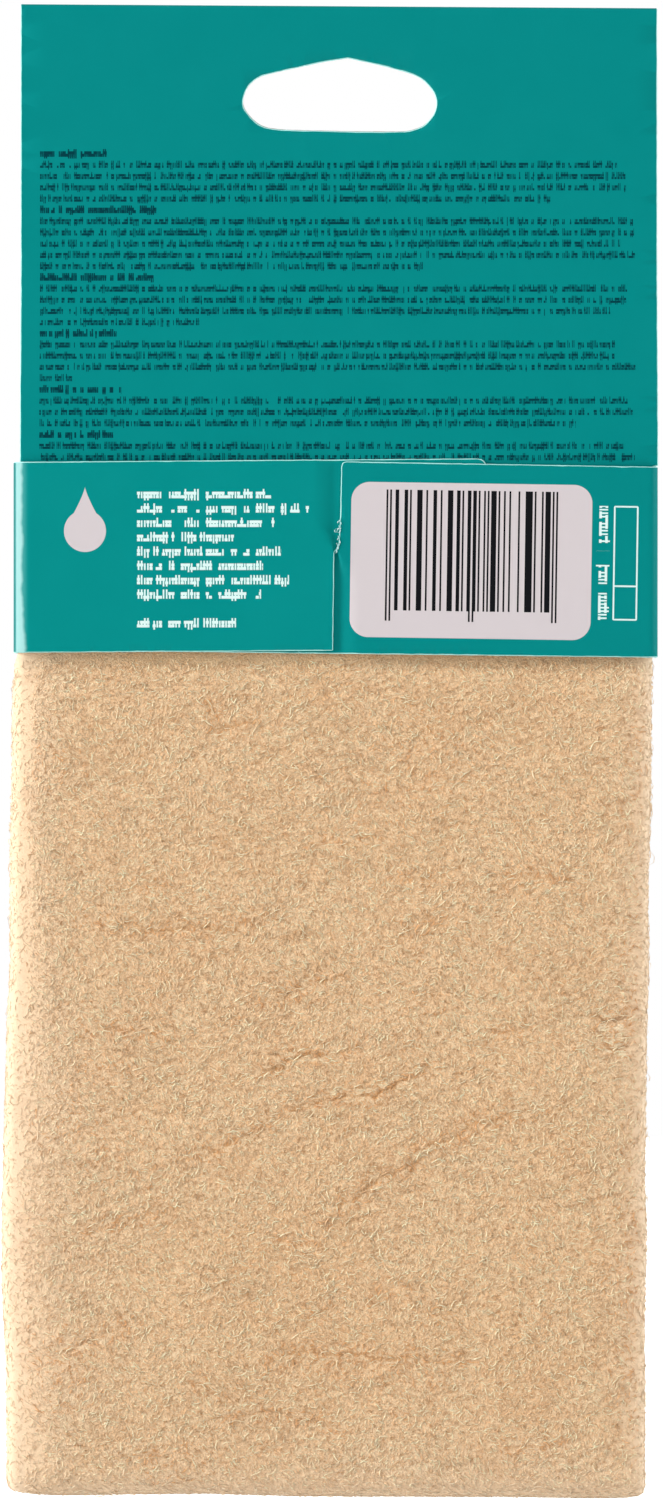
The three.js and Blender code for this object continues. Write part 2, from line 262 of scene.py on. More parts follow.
def speckle(vector, size, detail=2.0, roughness=0.5):
    """Noise with features of about this size in metres, from 0 to 1."""
    sockets = {"Vector": vector, "Scale": 1 / size, "Detail": detail, "Roughness": roughness}
    return make_node(vector.tree, "ShaderNodeTexNoise", sockets)


def bumped(height, strength, depth):
    """The surface's direction where a height map of this depth in metres lies on it."""
    sockets = {"Height": height, "Strength": strength, "Distance": depth}
    return make_node(height.tree, "ShaderNodeBump", sockets)


def srgb(red, green, blue):
    """A colour as seen on a screen, 0 to 255, turned into light values."""
    shown = np.array([red, green, blue]) / 255
    light = np.where(shown <= 0.04045, shown / 12.92, ((shown + 0.055) / 1.055) ** 2.4)
    return tuple(float(v) for v in light)


def new_group(name, inputs, outputs):
    """An empty node group: its tree, its inputs' readings by name, and its output node."""
    tree = bpy.data.node_groups.new(name, "ShaderNodeTree")
    for label, default in inputs.items():
        kind = "NodeSocketFloat" if isinstance(default, float) else "NodeSocketVector"
        socket = tree.interface.new_socket(label, in_out="INPUT", socket_type=kind)
        if isinstance(default, float):
            socket.default_value = default
    for label in outputs:
        tree.interface.new_socket(label, in_out="OUTPUT", socket_type="NodeSocketFloat")
    sockets = tree.nodes.new("NodeGroupInput").outputs
    given = {label: Reading(sockets[label]) for label in inputs}
    return tree, given, tree.nodes.new("NodeGroupOutput")


def place_group(group, sockets):
    """A node group placed in the material that its Place is read in; its readings by name."""
    made = sockets["Place"].tree.nodes.new("ShaderNodeGroup")
    made.node_tree = group
    plug(made, sockets)
    return {socket.name: Reading(socket) for socket in made.outputs}


def new_material(name, **values):
    """A material and its shader, whose fixed values are set on its own sockets."""
    made = bpy.data.materials.new(name)
    made.use_nodes = True
    shader = made.node_tree.nodes["Principled BSDF"]
    plug(shader, {key.replace("_", " "): value for key, value in values.items()})
    return made, shader


def object_place(material):
    """Where a point is on the object."""
    return make_node(material.node_tree, "ShaderNodeTexCoord", output="Object")


def stored(material, name):
    """A vector that the mesh stores at its points."""
    tree = material.node_tree
    return make_node(tree, "ShaderNodeAttribute", output="Vector", attribute_name=name)


def ray_is(tree, kind):
    """Whether the ray that meets the surface is of a kind."""
    return make_node(tree, "ShaderNodeLightPath", output=f"Is {kind} Ray")


# %% [markdown]
# ## Floor and background
# The floor lies below the pack, with room for the leather to be pulled down out of its sleeve.
# The background is plain white for the camera, and a weaker, even light for everything else.

# %% World and floor
FLOOR_HEIGHT, FLOOR_RADIUS, FLOOR_SIDES = -302 * MM, 2.5, 96
AMBIENT = 0.32
# The floor glows weakly within the first radius, where the shadow lies, and fully past the second
SHADOW_RADIUS, WHITE_RADIUS, WEAK_GLOW = 0.36, 0.56, 0.12
world = bpy.data.worlds.new("white_room")
bpy.context.scene.world = world
world.use_nodes = True
room = world.node_tree
seen = larger(ray_is(room, "Camera"), larger(ray_is(room, "Glossy"), ray_is(room, "Transmission")))
strength = make_node(room, "ShaderNodeMapRange", {"Value": seen, "To Min": AMBIENT, "To Max": 1.0})
plug(room.nodes["Background"], {"Strength": strength, "Color": (1, 1, 1, 1)})

angles = np.linspace(0, 2 * np.pi, FLOOR_SIDES, endpoint=False)
floor_points = np.column_stack([np.cos(angles), np.sin(angles), 0 * angles]) * FLOOR_RADIUS
floor_points[:, 2] = FLOOR_HEIGHT
floor_mesh = bpy.data.meshes.new("floor")
floor_mesh.from_pydata(floor_points.tolist(), [], [list(range(FLOOR_SIDES))])
floor = bpy.data.objects.new("floor", floor_mesh)
bpy.context.scene.collection.objects.link(floor)
floor_paint, shader = new_material("pale_floor", Roughness=0.7, Specular_IOR_Level=0.2)
on_floor = object_place(floor_paint)
tree = on_floor.tree
from_middle = make_node(tree, "ShaderNodeVectorMath", {0: on_floor}, "Value", operation="LENGTH")
seen = larger(ray_is(tree, "Camera"), ray_is(tree, "Glossy"))
lift = seen * between(from_middle, SHADOW_RADIUS, WHITE_RADIUS, WEAK_GLOW, 1.0)
plug(shader, {"Base Color": (0.9, 0.9, 0.9, 1), "Emission Color": (1, 1, 1, 1)})
plug(shader, {"Emission Strength": lift})
floor_mesh.materials.append(floor_paint)
print("floor at", round(FLOOR_HEIGHT / MM), "mm")

# %% [markdown]
# ## The board: a flat blank, then folded
# The real card is cut flat from one sheet and folded. The same is done here. A piece is drawn as
# an outline on the flat blank, filled with triangles, and each point is then carried to its place
# on a folded line. The printed face ends a little inside the cut, and a narrow slope of white
# board joins it to the cut edge, as a cutting die leaves it.


# %% Folded line
def trace(start, heading, moves):
    """A pen line of runs and turns: each move is a length and the angle turned over it.
    The heading changes evenly along each move, and the place is the running sum of its steps."""
    knots = np.cumsum([0] + [length for length, _ in moves])
    headings = np.radians(heading + np.cumsum([0] + [turn for _, turn in moves]))
    along = np.unique(np.concatenate([np.arange(0, knots[-1], 0.05 * MM), knots]))
    middle = np.interp((along[1:] + along[:-1]) / 2, knots, headings)
    steps = np.diff(along)[:, None] * np.column_stack([np.cos(middle), np.sin(middle)])
    places = np.vstack([[0, 0], np.cumsum(steps, axis=0)]) + np.array(start)
    return {"along": along, "places": places, "knots": knots, "headings": headings}


def carry(line, along, side):
    """Place and outward direction on a folded line; side turns the heading by a quarter turn."""
    along = np.asarray(along, float)
    place = np.column_stack([np.interp(along, line["along"], line["places"][:, i]) for i in (0, 1)])
    turned = np.interp(along, line["knots"], line["headings"]) + side * np.pi / 2
    beyond = along - np.clip(along, 0, line["along"][-1])
    last = line["headings"][-1]
    place += beyond[:, None] * np.array([math.cos(last), math.sin(last)])
    return place, np.column_stack([np.cos(turned), np.sin(turned)])


# %% Randomness that is the same each run
NET_SIZE, NET_START = 256, (90.37, 71.61)


def ease(share):
    """From 0 to 1 with a soft start and end."""
    share = np.clip(share, 0, 1)
    return share * share * (3 - 2 * share)


def soft_noise(u, v, size, seed):
    """Smooth noise from -1 to 1: random values on a square net of this size, eased between."""
    net = np.random.default_rng(seed).uniform(-1, 1, (NET_SIZE + 1, NET_SIZE + 1))
    u, v = (np.asarray(w, float) / size + first for w, first in zip((u, v), NET_START))
    i, j = np.floor(u).astype(int), np.floor(v).astype(int)
    fu, fv = ease(u - i), ease(v - j)
    i, j = i % NET_SIZE, j % NET_SIZE
    low = net[i, j] * (1 - fu) + net[i + 1, j] * fu
    high = net[i, j + 1] * (1 - fu) + net[i + 1, j + 1] * fu
    return low * (1 - fv) + high * fv


# %% Outlines
def dense(points, step):
    """A closed outline with a point at least every step, corners kept."""
    points = np.asarray(points, float)
    parts = []
    for first, second in zip(points, np.roll(points, -1, axis=0)):
        count = max(1, int(np.ceil(np.linalg.norm(second - first) / step)))
        parts.append(first + (second - first) * (np.arange(count) / count)[:, None])
    return np.vstack(parts)


CORNER_STEPS = 8


def rounded(points, radii):
    """An outline whose corners are rounded with a curve from one side to the other."""
    points = np.asarray(points, float)
    parts = []
    for i, radius in enumerate(radii):
        before, here, after = points[i - 1], points[i], points[(i + 1) % len(points)]
        if radius == 0:
            parts.append(here[None])
            continue
        entry = here + (before - here) / np.linalg.norm(before - here) * radius
        leave = here + (after - here) / np.linalg.norm(after - here) * radius
        t = np.linspace(0, 1, CORNER_STEPS + 1)[:, None]
        parts.append((1 - t) ** 2 * entry + 2 * t * (1 - t) * here + t**2 * leave)
    return np.vstack(parts)


def inside(points, loop):
    """Which points lie inside a closed loop: those whose ray to the right crosses it an odd
    number of times."""
    x, y = points[:, 0][:, None], points[:, 1][:, None]
    x0, y0 = loop[:, 0], loop[:, 1]
    x1, y1 = np.roll(x0, -1), np.roll(y0, -1)
    spans = (y0 <= y) != (y1 <= y)
    meets = x0 + (y - y0) * (x1 - x0) / np.where(y1 == y0, 1, y1 - y0)
    return (np.sum(spans & (x < meets), axis=1) % 2).astype(bool)


def on_board(points, loops):
    """Which points lie inside the first loop and outside all the others, which are holes."""
    found = inside(points, loops[0])
    for hole in loops[1:]:
        found &= ~inside(points, hole)
    return found


def inward(loop, is_hole):
    """Unit directions from a loop into the board: its edge directions turned by a quarter turn."""
    forward = np.roll(loop, -1, axis=0) - np.roll(loop, 1, axis=0)
    forward /= np.maximum(np.linalg.norm(forward, axis=1, keepdims=True), 1e-12)
    x, y = loop[:, 0], loop[:, 1]
    area = np.sum(x * np.roll(y, -1) - y * np.roll(x, -1))
    turn = (1 if area > 0 else -1) * (-1 if is_hole else 1)
    return np.column_stack([-forward[:, 1], forward[:, 0]]) * turn


# %% Filling the blank
# In millimetres: how far the cut wanders, and the slope's width and how much that changes
RAGGED, SLOPE_WIDTH, SLOPE_CHANGE = 0.03, 0.15, 0.05
EDGE_CLEARANCE, CHUNK = 0.45, 256


def fill_blank(outline, holes, columns, rows, step, seed, joined, extra):
    """The flat blank: points, triangles, the numbers of each loop's points, and the cut outline.
    The printed face ends a little inside the cut, but not where joined says that the board goes
    on into the next piece. The net of columns and rows is kept clear of the loops."""
    loops, cuts = [], []
    for number, loop in enumerate([outline, *holes]):
        loop = dense(loop, step)
        length = np.arange(len(loop)) * step
        ragged = soft_noise(length, length * 0, 0.9 * MM, seed + number) * RAGGED * MM
        change = soft_noise(length, length * 0, 2.2 * MM, seed + 50 + number)
        width = (SLOPE_WIDTH + SLOPE_CHANGE * change) * MM
        into = inward(loop, number > 0)
        cut_here = ~joined(loop)
        ragged, width = ragged * cut_here, width * cut_here
        loop = loop + into * ragged[:, None]
        loops.append(loop + into * width[:, None])
        cuts.append(loop)
    columns, rows = (np.unique(np.round(np.asarray(v) / MM, 3)) * MM for v in (columns, rows))
    net = np.vstack([np.array(np.meshgrid(columns, rows)).reshape(2, -1).T, extra])
    net = net[on_board(net, loops)]
    edge_points = np.vstack(loops)
    near = np.zeros(len(net), bool)
    for start in range(0, len(edge_points), CHUNK):
        gap = net[:, None] - edge_points[None, start : start + CHUNK]
        near |= (np.einsum("ijk,ijk->ij", gap, gap) < (EDGE_CLEARANCE * step) ** 2).any(axis=1)
    points = np.vstack([edge_points, net[~near]])
    numbers, edges, first = [], [], 0
    for loop in loops:
        ring = np.arange(first, first + len(loop))
        numbers.append(ring)
        edges += np.column_stack([ring, np.roll(ring, -1)]).tolist()
        first += len(loop)
    result = flat_geometry.delaunay_2d_cdt([Vector(p) for p in points / MM], edges, [], 0, 1e-6)
    assert len(result[0]) == len(points), "the outline crosses itself"
    triangles = np.array(result[2])
    middle = points[triangles].mean(axis=1)
    return points, triangles[on_board(middle, loops)], numbers, np.vstack(cuts)


# %% Mesh pieces
def new_mesh_piece(name, points, faces, material_numbers, materials, smooth_angle=35):
    """A mesh object from arrays of points and faces, with its materials and shading."""
    mesh = bpy.data.meshes.new(name)
    sizes = np.concatenate([np.full(len(block), block.shape[1]) for block in faces])
    corners = np.concatenate([block.ravel() for block in faces])
    mesh.vertices.add(len(points))
    mesh.vertices.foreach_set("co", np.asarray(points, np.float32).ravel())
    mesh.loops.add(len(corners))
    mesh.loops.foreach_set("vertex_index", corners.astype(np.int32))
    mesh.polygons.add(len(sizes))
    starts = np.concatenate([[0], np.cumsum(sizes)[:-1]])
    mesh.polygons.foreach_set("loop_start", starts.astype(np.int32))
    for material in materials:
        mesh.materials.append(material)
    mesh.polygons.foreach_set("material_index", np.asarray(material_numbers, np.int32))
    mesh.polygons.foreach_set("use_smooth", np.ones(len(sizes), bool))
    mesh.update(calc_edges=True)
    mesh.validate()
    mesh.set_sharp_from_angle(angle=math.radians(smooth_angle))
    made = bpy.data.objects.new(name, mesh)
    bpy.context.scene.collection.objects.link(made)
    return made


def runs_along(triangles, first, second):
    """Whether some triangle's border goes from the first point to the second."""
    following = np.roll(triangles, -1, axis=1)
    return bool(((triangles == first) & (following == second)).any())


def store(piece, name, vectors):
    """Stores a vector at each point of a piece, for its finish to read."""
    attribute = piece.data.attributes.new(name, "FLOAT_VECTOR", "POINT")
    attribute.data.foreach_set("vector", np.asarray(vectors, np.float32).ravel())


# %% A piece of board
SLOPE_DEPTH = 0.11 * MM


def board_piece(
    name, outline, holes, columns, rows, place_on_fold, materials, joined,
    step=0.5 * MM, seed=1, extra=np.zeros((0, 2)),
):
    """A panel of board: the filled blank, carried to the fold by place_on_fold, which gives the
    middle of the board and the outward direction, with half the board's thickness to each side.
    Its materials are those of the printed side, the bare side and the cut edge. It stores where
    each point lies on the flat blank, which the print is drawn on."""
    blank, triangles, loops, cuts = fill_blank(
        outline, holes, columns, rows, step, seed, joined, extra
    )
    edge_count = len(cuts)
    cut_blank = np.vstack([cuts, blank[edge_count:]])
    middle, outward = place_on_fold(blank)
    cut_middle, cut_outward = place_on_fold(cut_blank)
    face = middle + outward * BOARD / 2
    back = cut_middle - cut_outward * BOARD / 2
    slope = (cut_middle + cut_outward * (BOARD / 2 - SLOPE_DEPTH))[:edge_count]
    points = np.vstack([face, back, slope])
    count = len(blank)
    a, b, c = (face[triangles[:, i]] for i in (0, 1, 2))
    if np.einsum("ij,ij->", np.cross(b - a, c - a), outward[triangles[:, 0]]) < 0:
        triangles = triangles[:, ::-1]
    sides = []
    for ring in loops:
        here, following = ring, np.roll(ring, -1)
        if runs_along(triangles, here[0], following[0]):
            here, following = following, here
        for upper, lower in ((0, 2 * count), (2 * count, count)):
            corners = [here + upper, following + upper, following + lower, here + lower]
            sides.append(np.column_stack(corners))
    sides = np.vstack(sides)
    faces = [triangles, (triangles + count)[:, ::-1], sides]
    numbers = np.repeat([0, 1, 2], [len(block) for block in faces])
    piece = new_mesh_piece(name, points, faces, numbers, materials)
    on_blank = np.vstack([blank, cut_blank, cuts])
    store(piece, "blank", np.column_stack([on_blank, np.zeros(len(on_blank))]))
    print(name, "with", len(triangles) * 2 + len(sides) * 2, "triangles")
    return piece

# %% [markdown]
# ## Board finishes
# One side of the board is printed teal and varnished; the other side is bare grey board, and the
# cut edges show its pale core. The print is drawn on the flat blank, so it bends with the board.
# The small print is rows of short upright strokes with gaps, which look evenly grey from afar.
# The pale panel has bars of random widths, and the mark on the left wing is a plain drop.


# %% Board grain and small print as shader groups
def build_board_grain():
    """Board grain: a slow mottle of the ink, and the fine fibre relief of pressed pulp."""
    tree, given, result = new_group("board_grain", {"Place": (0, 0, 0)}, ["Mottle", "Relief"])
    place = given["Place"]
    fine = speckle(place, 0.35 * MM, 2, 0.6)
    mottle = speckle(place, 11 * MM, 3) * 0.6 + fine * 0.4
    plug(result, {"Mottle": mottle, "Relief": speckle(place, 1.1 * MM, 3, 0.6) * 0.6 + fine})
    return tree


def chances(first, second, third=0.0):
    """Four random values that belong to a place: one, and three in a list."""
    key = combine(first, second, third)
    noise = add_node(key.tree, "ShaderNodeTexWhiteNoise", {"Vector": key})
    return Reading(noise.outputs["Value"]), split(Reading(noise.outputs["Color"]))


def build_small_print():
    """Rows of marks. Row: counted down from the first. Strokes: two short upright marks to a
    cell, some of them joined at the head or the foot, some taller, and a gap at random even
    cells. From Left: the distance from the row's left end."""
    inputs = {"Place": (0, 0, 0), "Left": 0.0, "First Row": 0.0, "Row Pitch": 0.002, "Cell": 0.001}
    inputs.update({"Mark Height": 0.45, "Weight": 0.5})
    tree, given, result = new_group("small_print", inputs, ["Row", "Strokes", "From Left"])
    x, z, _ = split(given["Place"])
    down = (given["First Row"] - z) / given["Row Pitch"] + 0.5
    row = maths("FLOOR", down)
    level = down - row - 0.5
    from_left = x - given["Left"]
    cells = from_left / given["Cell"]
    cell = maths("FLOOR", cells)
    marks = cells * 2.0
    mark = maths("FLOOR", marks)
    empty, (tall, hanging, _) = chances(cell, row)
    solid, (headed, footed, _) = chances(mark, row, 3.7)
    gap = (empty < 0.34) * ((cell % 2.0 < 0.5) * (cell > 2.5))
    half = given["Mark Height"] * 0.5
    rise = (tall > 0.66) * 0.19 + half
    drop = (hanging > 0.86) * 0.15 + half
    in_band = (level + rise > 0.0) * (drop - level > 0.0)
    upright = (abs(marks - mark - 0.5) < given["Weight"] * 0.5) * (solid > 0.13)
    thin = given["Weight"] * 0.2
    head = (abs(level + half - thin) < thin) * (headed > 0.5)
    foot = (abs(half - level - thin) < thin) * (footed > 0.55)
    strokes = larger(upright, larger(head, foot)) * (1.0 - gap) * in_band * (from_left > 0.0)
    plug(result, {"Row": row, "Strokes": strokes, "From Left": from_left})
    return tree


board_grain = build_board_grain()
small_print = build_small_print()


# %% Helpers for print
def row_table(row, values):
    """The value of each row, 0 to 1: a ramp with a flat step for each, and 0 past its ends."""
    share = (row + 0.5) / float(len(values))
    ramp = add_node(row.tree, "ShaderNodeValToRGB", {0: share})
    ramp.color_ramp.interpolation = "CONSTANT"
    steps = ramp.color_ramp.elements
    while len(steps) < len(values):
        steps.new(0.5)
    for number, value in enumerate(values):
        steps[number].position = number / len(values)
        steps[number].color = (value, value, value, 1)
    return Reading(ramp.outputs[0]) * ((share > 0.0) * (share < 1.0))


def row_lengths(row, lengths):
    """The length of each row in metres, from a list in pixels."""
    return row_table(row, [length / max(lengths) for length in lengths]) * (max(lengths) * PIXEL)


def rounded_box(x, y, half_width, half_height, radius):
    """Distance outside a rounded rectangle: beyond its inner rectangle, less the corner radius."""
    over_x = larger(abs(x) - (half_width - radius), 0.0)
    over_y = larger(abs(y) - (half_height - radius), 0.0)
    return maths("SQRT", over_x * over_x + over_y * over_y) - radius


def below_edge(distance, edge=0.0):
    """A mask that is 1 where distance is less than edge, with a border of 0.04 millimetres."""
    return between(distance, edge - 0.02 * MM, edge + 0.02 * MM, 1.0, 0.0)


# %% Printed board
TEAL, WING_TEAL, INK = srgb(0, 133, 131), srgb(0, 138, 135), srgb(0, 44, 56)
# The outermost turn of the left wing's fold gets painted shade, and the streak along it a painted
# highlight
OUTER_SHADE_TEAL, STREAK_HIGHLIGHT_TEAL = srgb(30, 128, 126), srgb(184, 226, 223)
PAPER_WHITE, PRINT_WHITE, BAR_BLACK = srgb(211, 202, 204), srgb(218, 242, 238), srgb(16, 17, 20)
HEADER_START, HEADER_ROW, HEADER_PITCH = 39, 152, 11.315
HEADER_ROWS = [106, 618, 628, 627, 551, 156, 634, 635, 621, 636, 423, 153, 630, 627, 611, 199, 116]
HEADER_ROWS += [618, 615, 636, 72, 121, 631, 633, 576, 116, 624, 635]
BOLD_ROWS = (0, 5, 11, 16, 21, 25)
WING_START, WING_ROW, WING_PITCH = 137, 495, 14.35
WING_ROWS = [271, 312, 279, 234, 281, 263, 289, 261, 137, 236]
# In pixels: the drop's middle and radius, and its tip's height, width and lowest place
DROP_MIDDLE, DROP_RADIUS, TIP_HEIGHT, TIP_WIDTH, TIP_FROM = (85, 531), 21, 44, 21.5, 9


def printed_board(name, teal, print_on=None):
    """Teal ink under satin varnish; print_on(place, colour) returns the colour with print."""
    made, shader = new_material(name, Specular_IOR_Level=0.05, IOR=1.45)
    place = stored(made, "blank")
    grain = place_group(board_grain, {"Place": place})
    dark, light = tuple(c * 0.94 for c in teal), tuple(min(1, c * 1.06 + 0.0015) for c in teal)
    colour = mix_colour(grain["Mottle"], dark, light)
    if print_on:
        colour = print_on(place, colour)
    shine = between(grain["Mottle"], 0.3, 0.7, 0.34, 0.44)
    plug(shader, {"Base Color": colour, "Roughness": shine})
    plug(shader, {"Normal": bumped(grain["Relief"], 0.25, 0.02 * MM)})
    return made


# %% Print on the header and the left wing
def print_rows(place, left, first_row, pitch, cell, height, weight):
    """Rows of small print: left, pitches and cell in pixels, height and weight as shares."""
    sockets = {"Place": place, "Left": float(across(left)), "First Row": float(upward(first_row))}
    sockets.update({"Row Pitch": pitch * PIXEL, "Cell": cell * PIXEL})
    sockets.update({"Mark Height": height, "Weight": weight})
    return place_group(small_print, sockets)


def header_print(place, colour):
    """Dark rows of small print, some of them bolder."""
    at = (place, HEADER_START, HEADER_ROW, HEADER_PITCH)
    fine = print_rows(*at, cell=3.1, height=0.46, weight=0.5)
    bold = print_rows(*at, cell=3.7, height=0.5, weight=0.72)
    length = row_lengths(fine["Row"], [end - HEADER_START for end in HEADER_ROWS])
    is_bold = row_table(fine["Row"], [float(n in BOLD_ROWS) for n in range(len(HEADER_ROWS))])
    shown = choose(is_bold, fine["Strokes"], bold["Strokes"]) * (fine["From Left"] < length)
    return mix_colour(shown * 0.92, colour, INK)


def fold_shine(place, colour):
    """Painted light round the left wing's fold, where the varnish is stretched: a painted highlight
    in a pale streak with a wavy inner side, wider at the bottom, a weak painted glare beside it,
    and painted shade, darker ink, on the outermost turn."""
    x, z, _ = split(place)
    sway = (speckle(combine(0.0, z * 0.3, 0.0), 1.2 * MM, 2.0) - 0.5) * (1.4 * MM)
    inner = x + sway - between(z, -92 * MM, -102 * MM, 0.0, 0.6 * MM)
    past_outer = between(x, -59.95 * MM, -59.4 * MM)
    # Painted highlight in a streak along the fold, and a weak painted glare beside it
    streak = between(inner, -58.55 * MM, -57.65 * MM, 0.66, 0.0)
    glare = between(x, -58.3 * MM, -56.9 * MM, 0.12, 0.0)
    # Painted shade: darker ink on the outermost turn
    edge = mix_colour(past_outer, OUTER_SHADE_TEAL, colour)
    return mix_colour(larger(streak, glare) * past_outer, edge, STREAK_HIGHLIGHT_TEAL)


def left_wing_print(place, colour):
    """White rows of larger print, and a plain drop in front of them: a ball, and above it a tip
    whose width falls off with the height."""
    at = (place, WING_START, WING_ROW, WING_PITCH)
    bold = print_rows(*at, cell=6.25, height=0.46, weight=0.52)
    length = row_lengths(bold["Row"], [end - WING_START for end in WING_ROWS])
    shown = bold["Strokes"] * (bold["From Left"] < length)
    x, z, _ = split(place)
    drop_x = x - float(across(DROP_MIDDLE[0]))
    drop_z = z - float(upward(DROP_MIDDLE[1]))
    from_middle = maths("SQRT", drop_x * drop_x + drop_z * drop_z)
    in_ball = below_edge(from_middle, DROP_RADIUS * PIXEL)
    height = drop_z / (TIP_HEIGHT * PIXEL)
    half_tip = larger(1.0 - height, 0.0) ** 1.25 * (TIP_WIDTH * PIXEL)
    in_tip = below_edge(abs(drop_x) - half_tip) * (drop_z > TIP_FROM * PIXEL) * (height < 1.0)
    dropped = mix_colour(larger(in_ball, in_tip), fold_shine(place, colour), PAPER_WHITE)
    return mix_colour(shown, dropped, PRINT_WHITE)


# %% Print on the right wing
BAR_SEED, BAR_MODULES, MODULE_WIDTH, BLANK_SHARE = 347.0, 95, 1.807, 0.53
# In pixels from the panel's middle: how far left the bars reach, their head and foot, and the
# foot of the regular ones
BARS_REACH, BARS_HEAD, BARS_FOOT, REGULAR_FOOT = 85.4, 70.3, -50.5, -61
# The panel's middle in pixels and its turn in degrees; half its width and height, and its corners
PANEL_MIDDLE, PANEL_TURN = (471, 561), 0.85
PANEL_BOX = (120.5 * PIXEL, 77.6 * PIXEL, 18.5 * PIXEL)


def bars_on(x, z):
    """A mask of upright bars in modules of equal width, black or blank at random. The first and
    last three and the middle ones are regular and stand lower."""
    module = maths("FLOOR", (x + BARS_REACH * PIXEL) / (MODULE_WIDTH * PIXEL))
    seeded = {"W": module + BAR_SEED}
    chance = make_node(x.tree, "ShaderNodeTexWhiteNoise", seeded, noise_dimensions="1D")
    from_middle = abs(module - (BAR_MODULES - 1) / 2)
    regular = larger(from_middle < 1.5, abs(from_middle - (BAR_MODULES - 3) / 2) < 1.5)
    black = choose(regular, chance > BLANK_SHARE, module % 2.0 < 0.5)
    foot = choose(regular, BARS_FOOT * PIXEL, REGULAR_FOOT * PIXEL)
    return black * (from_middle < BAR_MODULES / 2) * ((z < BARS_HEAD * PIXEL) * (z > foot))


def outlined_frame(x, z):
    """A mask of a tall empty frame with rounded corners and one line across."""
    in_outer = below_edge(rounded_box(x, z, 12.3 * PIXEL, 57.3 * PIXEL, 1.6 * PIXEL))
    in_inner = below_edge(rounded_box(x, z, 10.7 * PIXEL, 55.7 * PIXEL, 0.2 * PIXEL))
    across_it = below_edge(abs(z + 23 * PIXEL), 0.85 * PIXEL) * (abs(x) < 11.5 * PIXEL)
    return larger(in_outer - in_inner, across_it)


def right_wing_print(place, colour):
    """A pale rounded panel with bars, two upright rows of print and an empty outlined frame."""
    centre = (float(-across(PANEL_MIDDLE[0])), float(-upward(PANEL_MIDDLE[1])), 0.0)
    centred = make_node(place.tree, "ShaderNodeMapping", {"Vector": place, "Location": centre})
    turn = (0, 0, math.radians(PANEL_TURN))
    turned = make_node(place.tree, "ShaderNodeMapping", {"Vector": centred, "Rotation": turn})
    x, z, _ = split(turned)
    colour = mix_colour(below_edge(rounded_box(x, z, *PANEL_BOX)), colour, PAPER_WHITE)
    colour = mix_colour(bars_on(x, z), colour, BAR_BLACK)
    sockets = {"Place": combine(z, x * -1, 0.0), "Left": -57 * PIXEL, "First Row": -132 * PIXEL}
    sockets.update({"Row Pitch": 14 * PIXEL, "Cell": 7.0 * PIXEL})
    sockets.update({"Mark Height": 0.62, "Weight": 0.46})
    rows = place_group(small_print, sockets)
    in_row = rows["From Left"] < row_lengths(rows["Row"], [114])
    outside_gap = abs(rows["From Left"] - 62 * PIXEL) > 7 * PIXEL
    shown = rows["Strokes"] * in_row * outside_gap
    return mix_colour(larger(outlined_frame(x - 154.5 * PIXEL, z), shown), colour, PRINT_WHITE)


# %% Finishes of the panels
plain_print = printed_board("printed_card", TEAL)
header_finish = printed_board("printed_header", TEAL, header_print)
left_finish = printed_board("printed_left_wing", WING_TEAL, left_wing_print)
right_finish = printed_board("printed_right_wing", TEAL, right_wing_print)


def bare_board(name, light, dark, roughness, flecks):
    """Unprinted board: pressed pulp with darker flecks and a fibrous relief."""
    made, shader = new_material(name, Roughness=roughness, Specular_IOR_Level=0.2)
    place = stored(made, "blank")
    grain = place_group(board_grain, {"Place": place})
    spots = between(speckle(place, 0.8 * MM, 1), 0.68, 0.74) * flecks
    colour = mix_colour(spots, mix_colour(grain["Mottle"], dark, light), dark)
    plug(shader, {"Base Color": colour, "Normal": bumped(grain["Relief"], 0.5, 0.05 * MM)})
    return made


bare_side = bare_board("bare_card", srgb(214, 211, 203), srgb(184, 181, 172), 0.9, 0.7)
cut_side = bare_board("cut_card", srgb(196, 250, 244), srgb(140, 214, 208), 0.85, 0.3)
print("board finishes:", [m.name for m in bpy.data.materials])

# %% [markdown]
# ## The header
# The header is two layers of board. The back layer comes over the top fold, carries the small
# print and ends in a tail inside the sleeve. The front layer goes on down as the front of the
# sleeve. Near the sleeve the layers part in a soft S-bend to go round the leather. The two slots
# don't meet exactly, so a hairline of the front layer shows at the bottom of the back one.

# %% Folds and outlines of the header
FOLD_TOP = TOP - HEADER_PLANE - BOARD / 2
PARTING, FOOT = SLEEVE_TOP + 40 * MM, SLEEVE_TOP + 1.5 * MM
BEND_ANGLE = 2 * math.atan((PANEL_PLANE - HEADER_PLANE) / (PARTING - FOOT))
BEND_LENGTH = (PARTING - FOOT) / 2 / math.sin(BEND_ANGLE) * BEND_ANGLE
OVER_TOP = math.pi * HEADER_PLANE
TAIL_END = SLEEVE_TOP - 22 * MM
TOP_RISE = (0.40 * MM, -0.0064)
TOUCH = 0.01 * MM


def layer_moves(turn, end):
    """Straight down to the parting, out and back in an S-bend, then straight to the end."""
    bend = math.degrees(BEND_ANGLE) * turn
    return [(FOLD_TOP - PARTING, 0), (BEND_LENGTH, bend), (BEND_LENGTH, -bend), (FOOT - end, 0)]


back_line = trace((HEADER_PLANE, FOLD_TOP), 90, [(OVER_TOP, 180), *layer_moves(-1, TAIL_END)])
front_line = trace((HEADER_PLANE, FOLD_TOP), -90, layer_moves(1, SLEEVE_BOTTOM))


def down_the_line(line, skip, z):
    """Length along a header line at a height; above the fold's foot the height is length itself."""
    low = line["along"] >= skip
    heights, lengths = line["places"][low, 1], line["along"][low]
    return np.where(z > FOLD_TOP, skip - (z - FOLD_TOP), np.interp(-z, -heights, lengths))


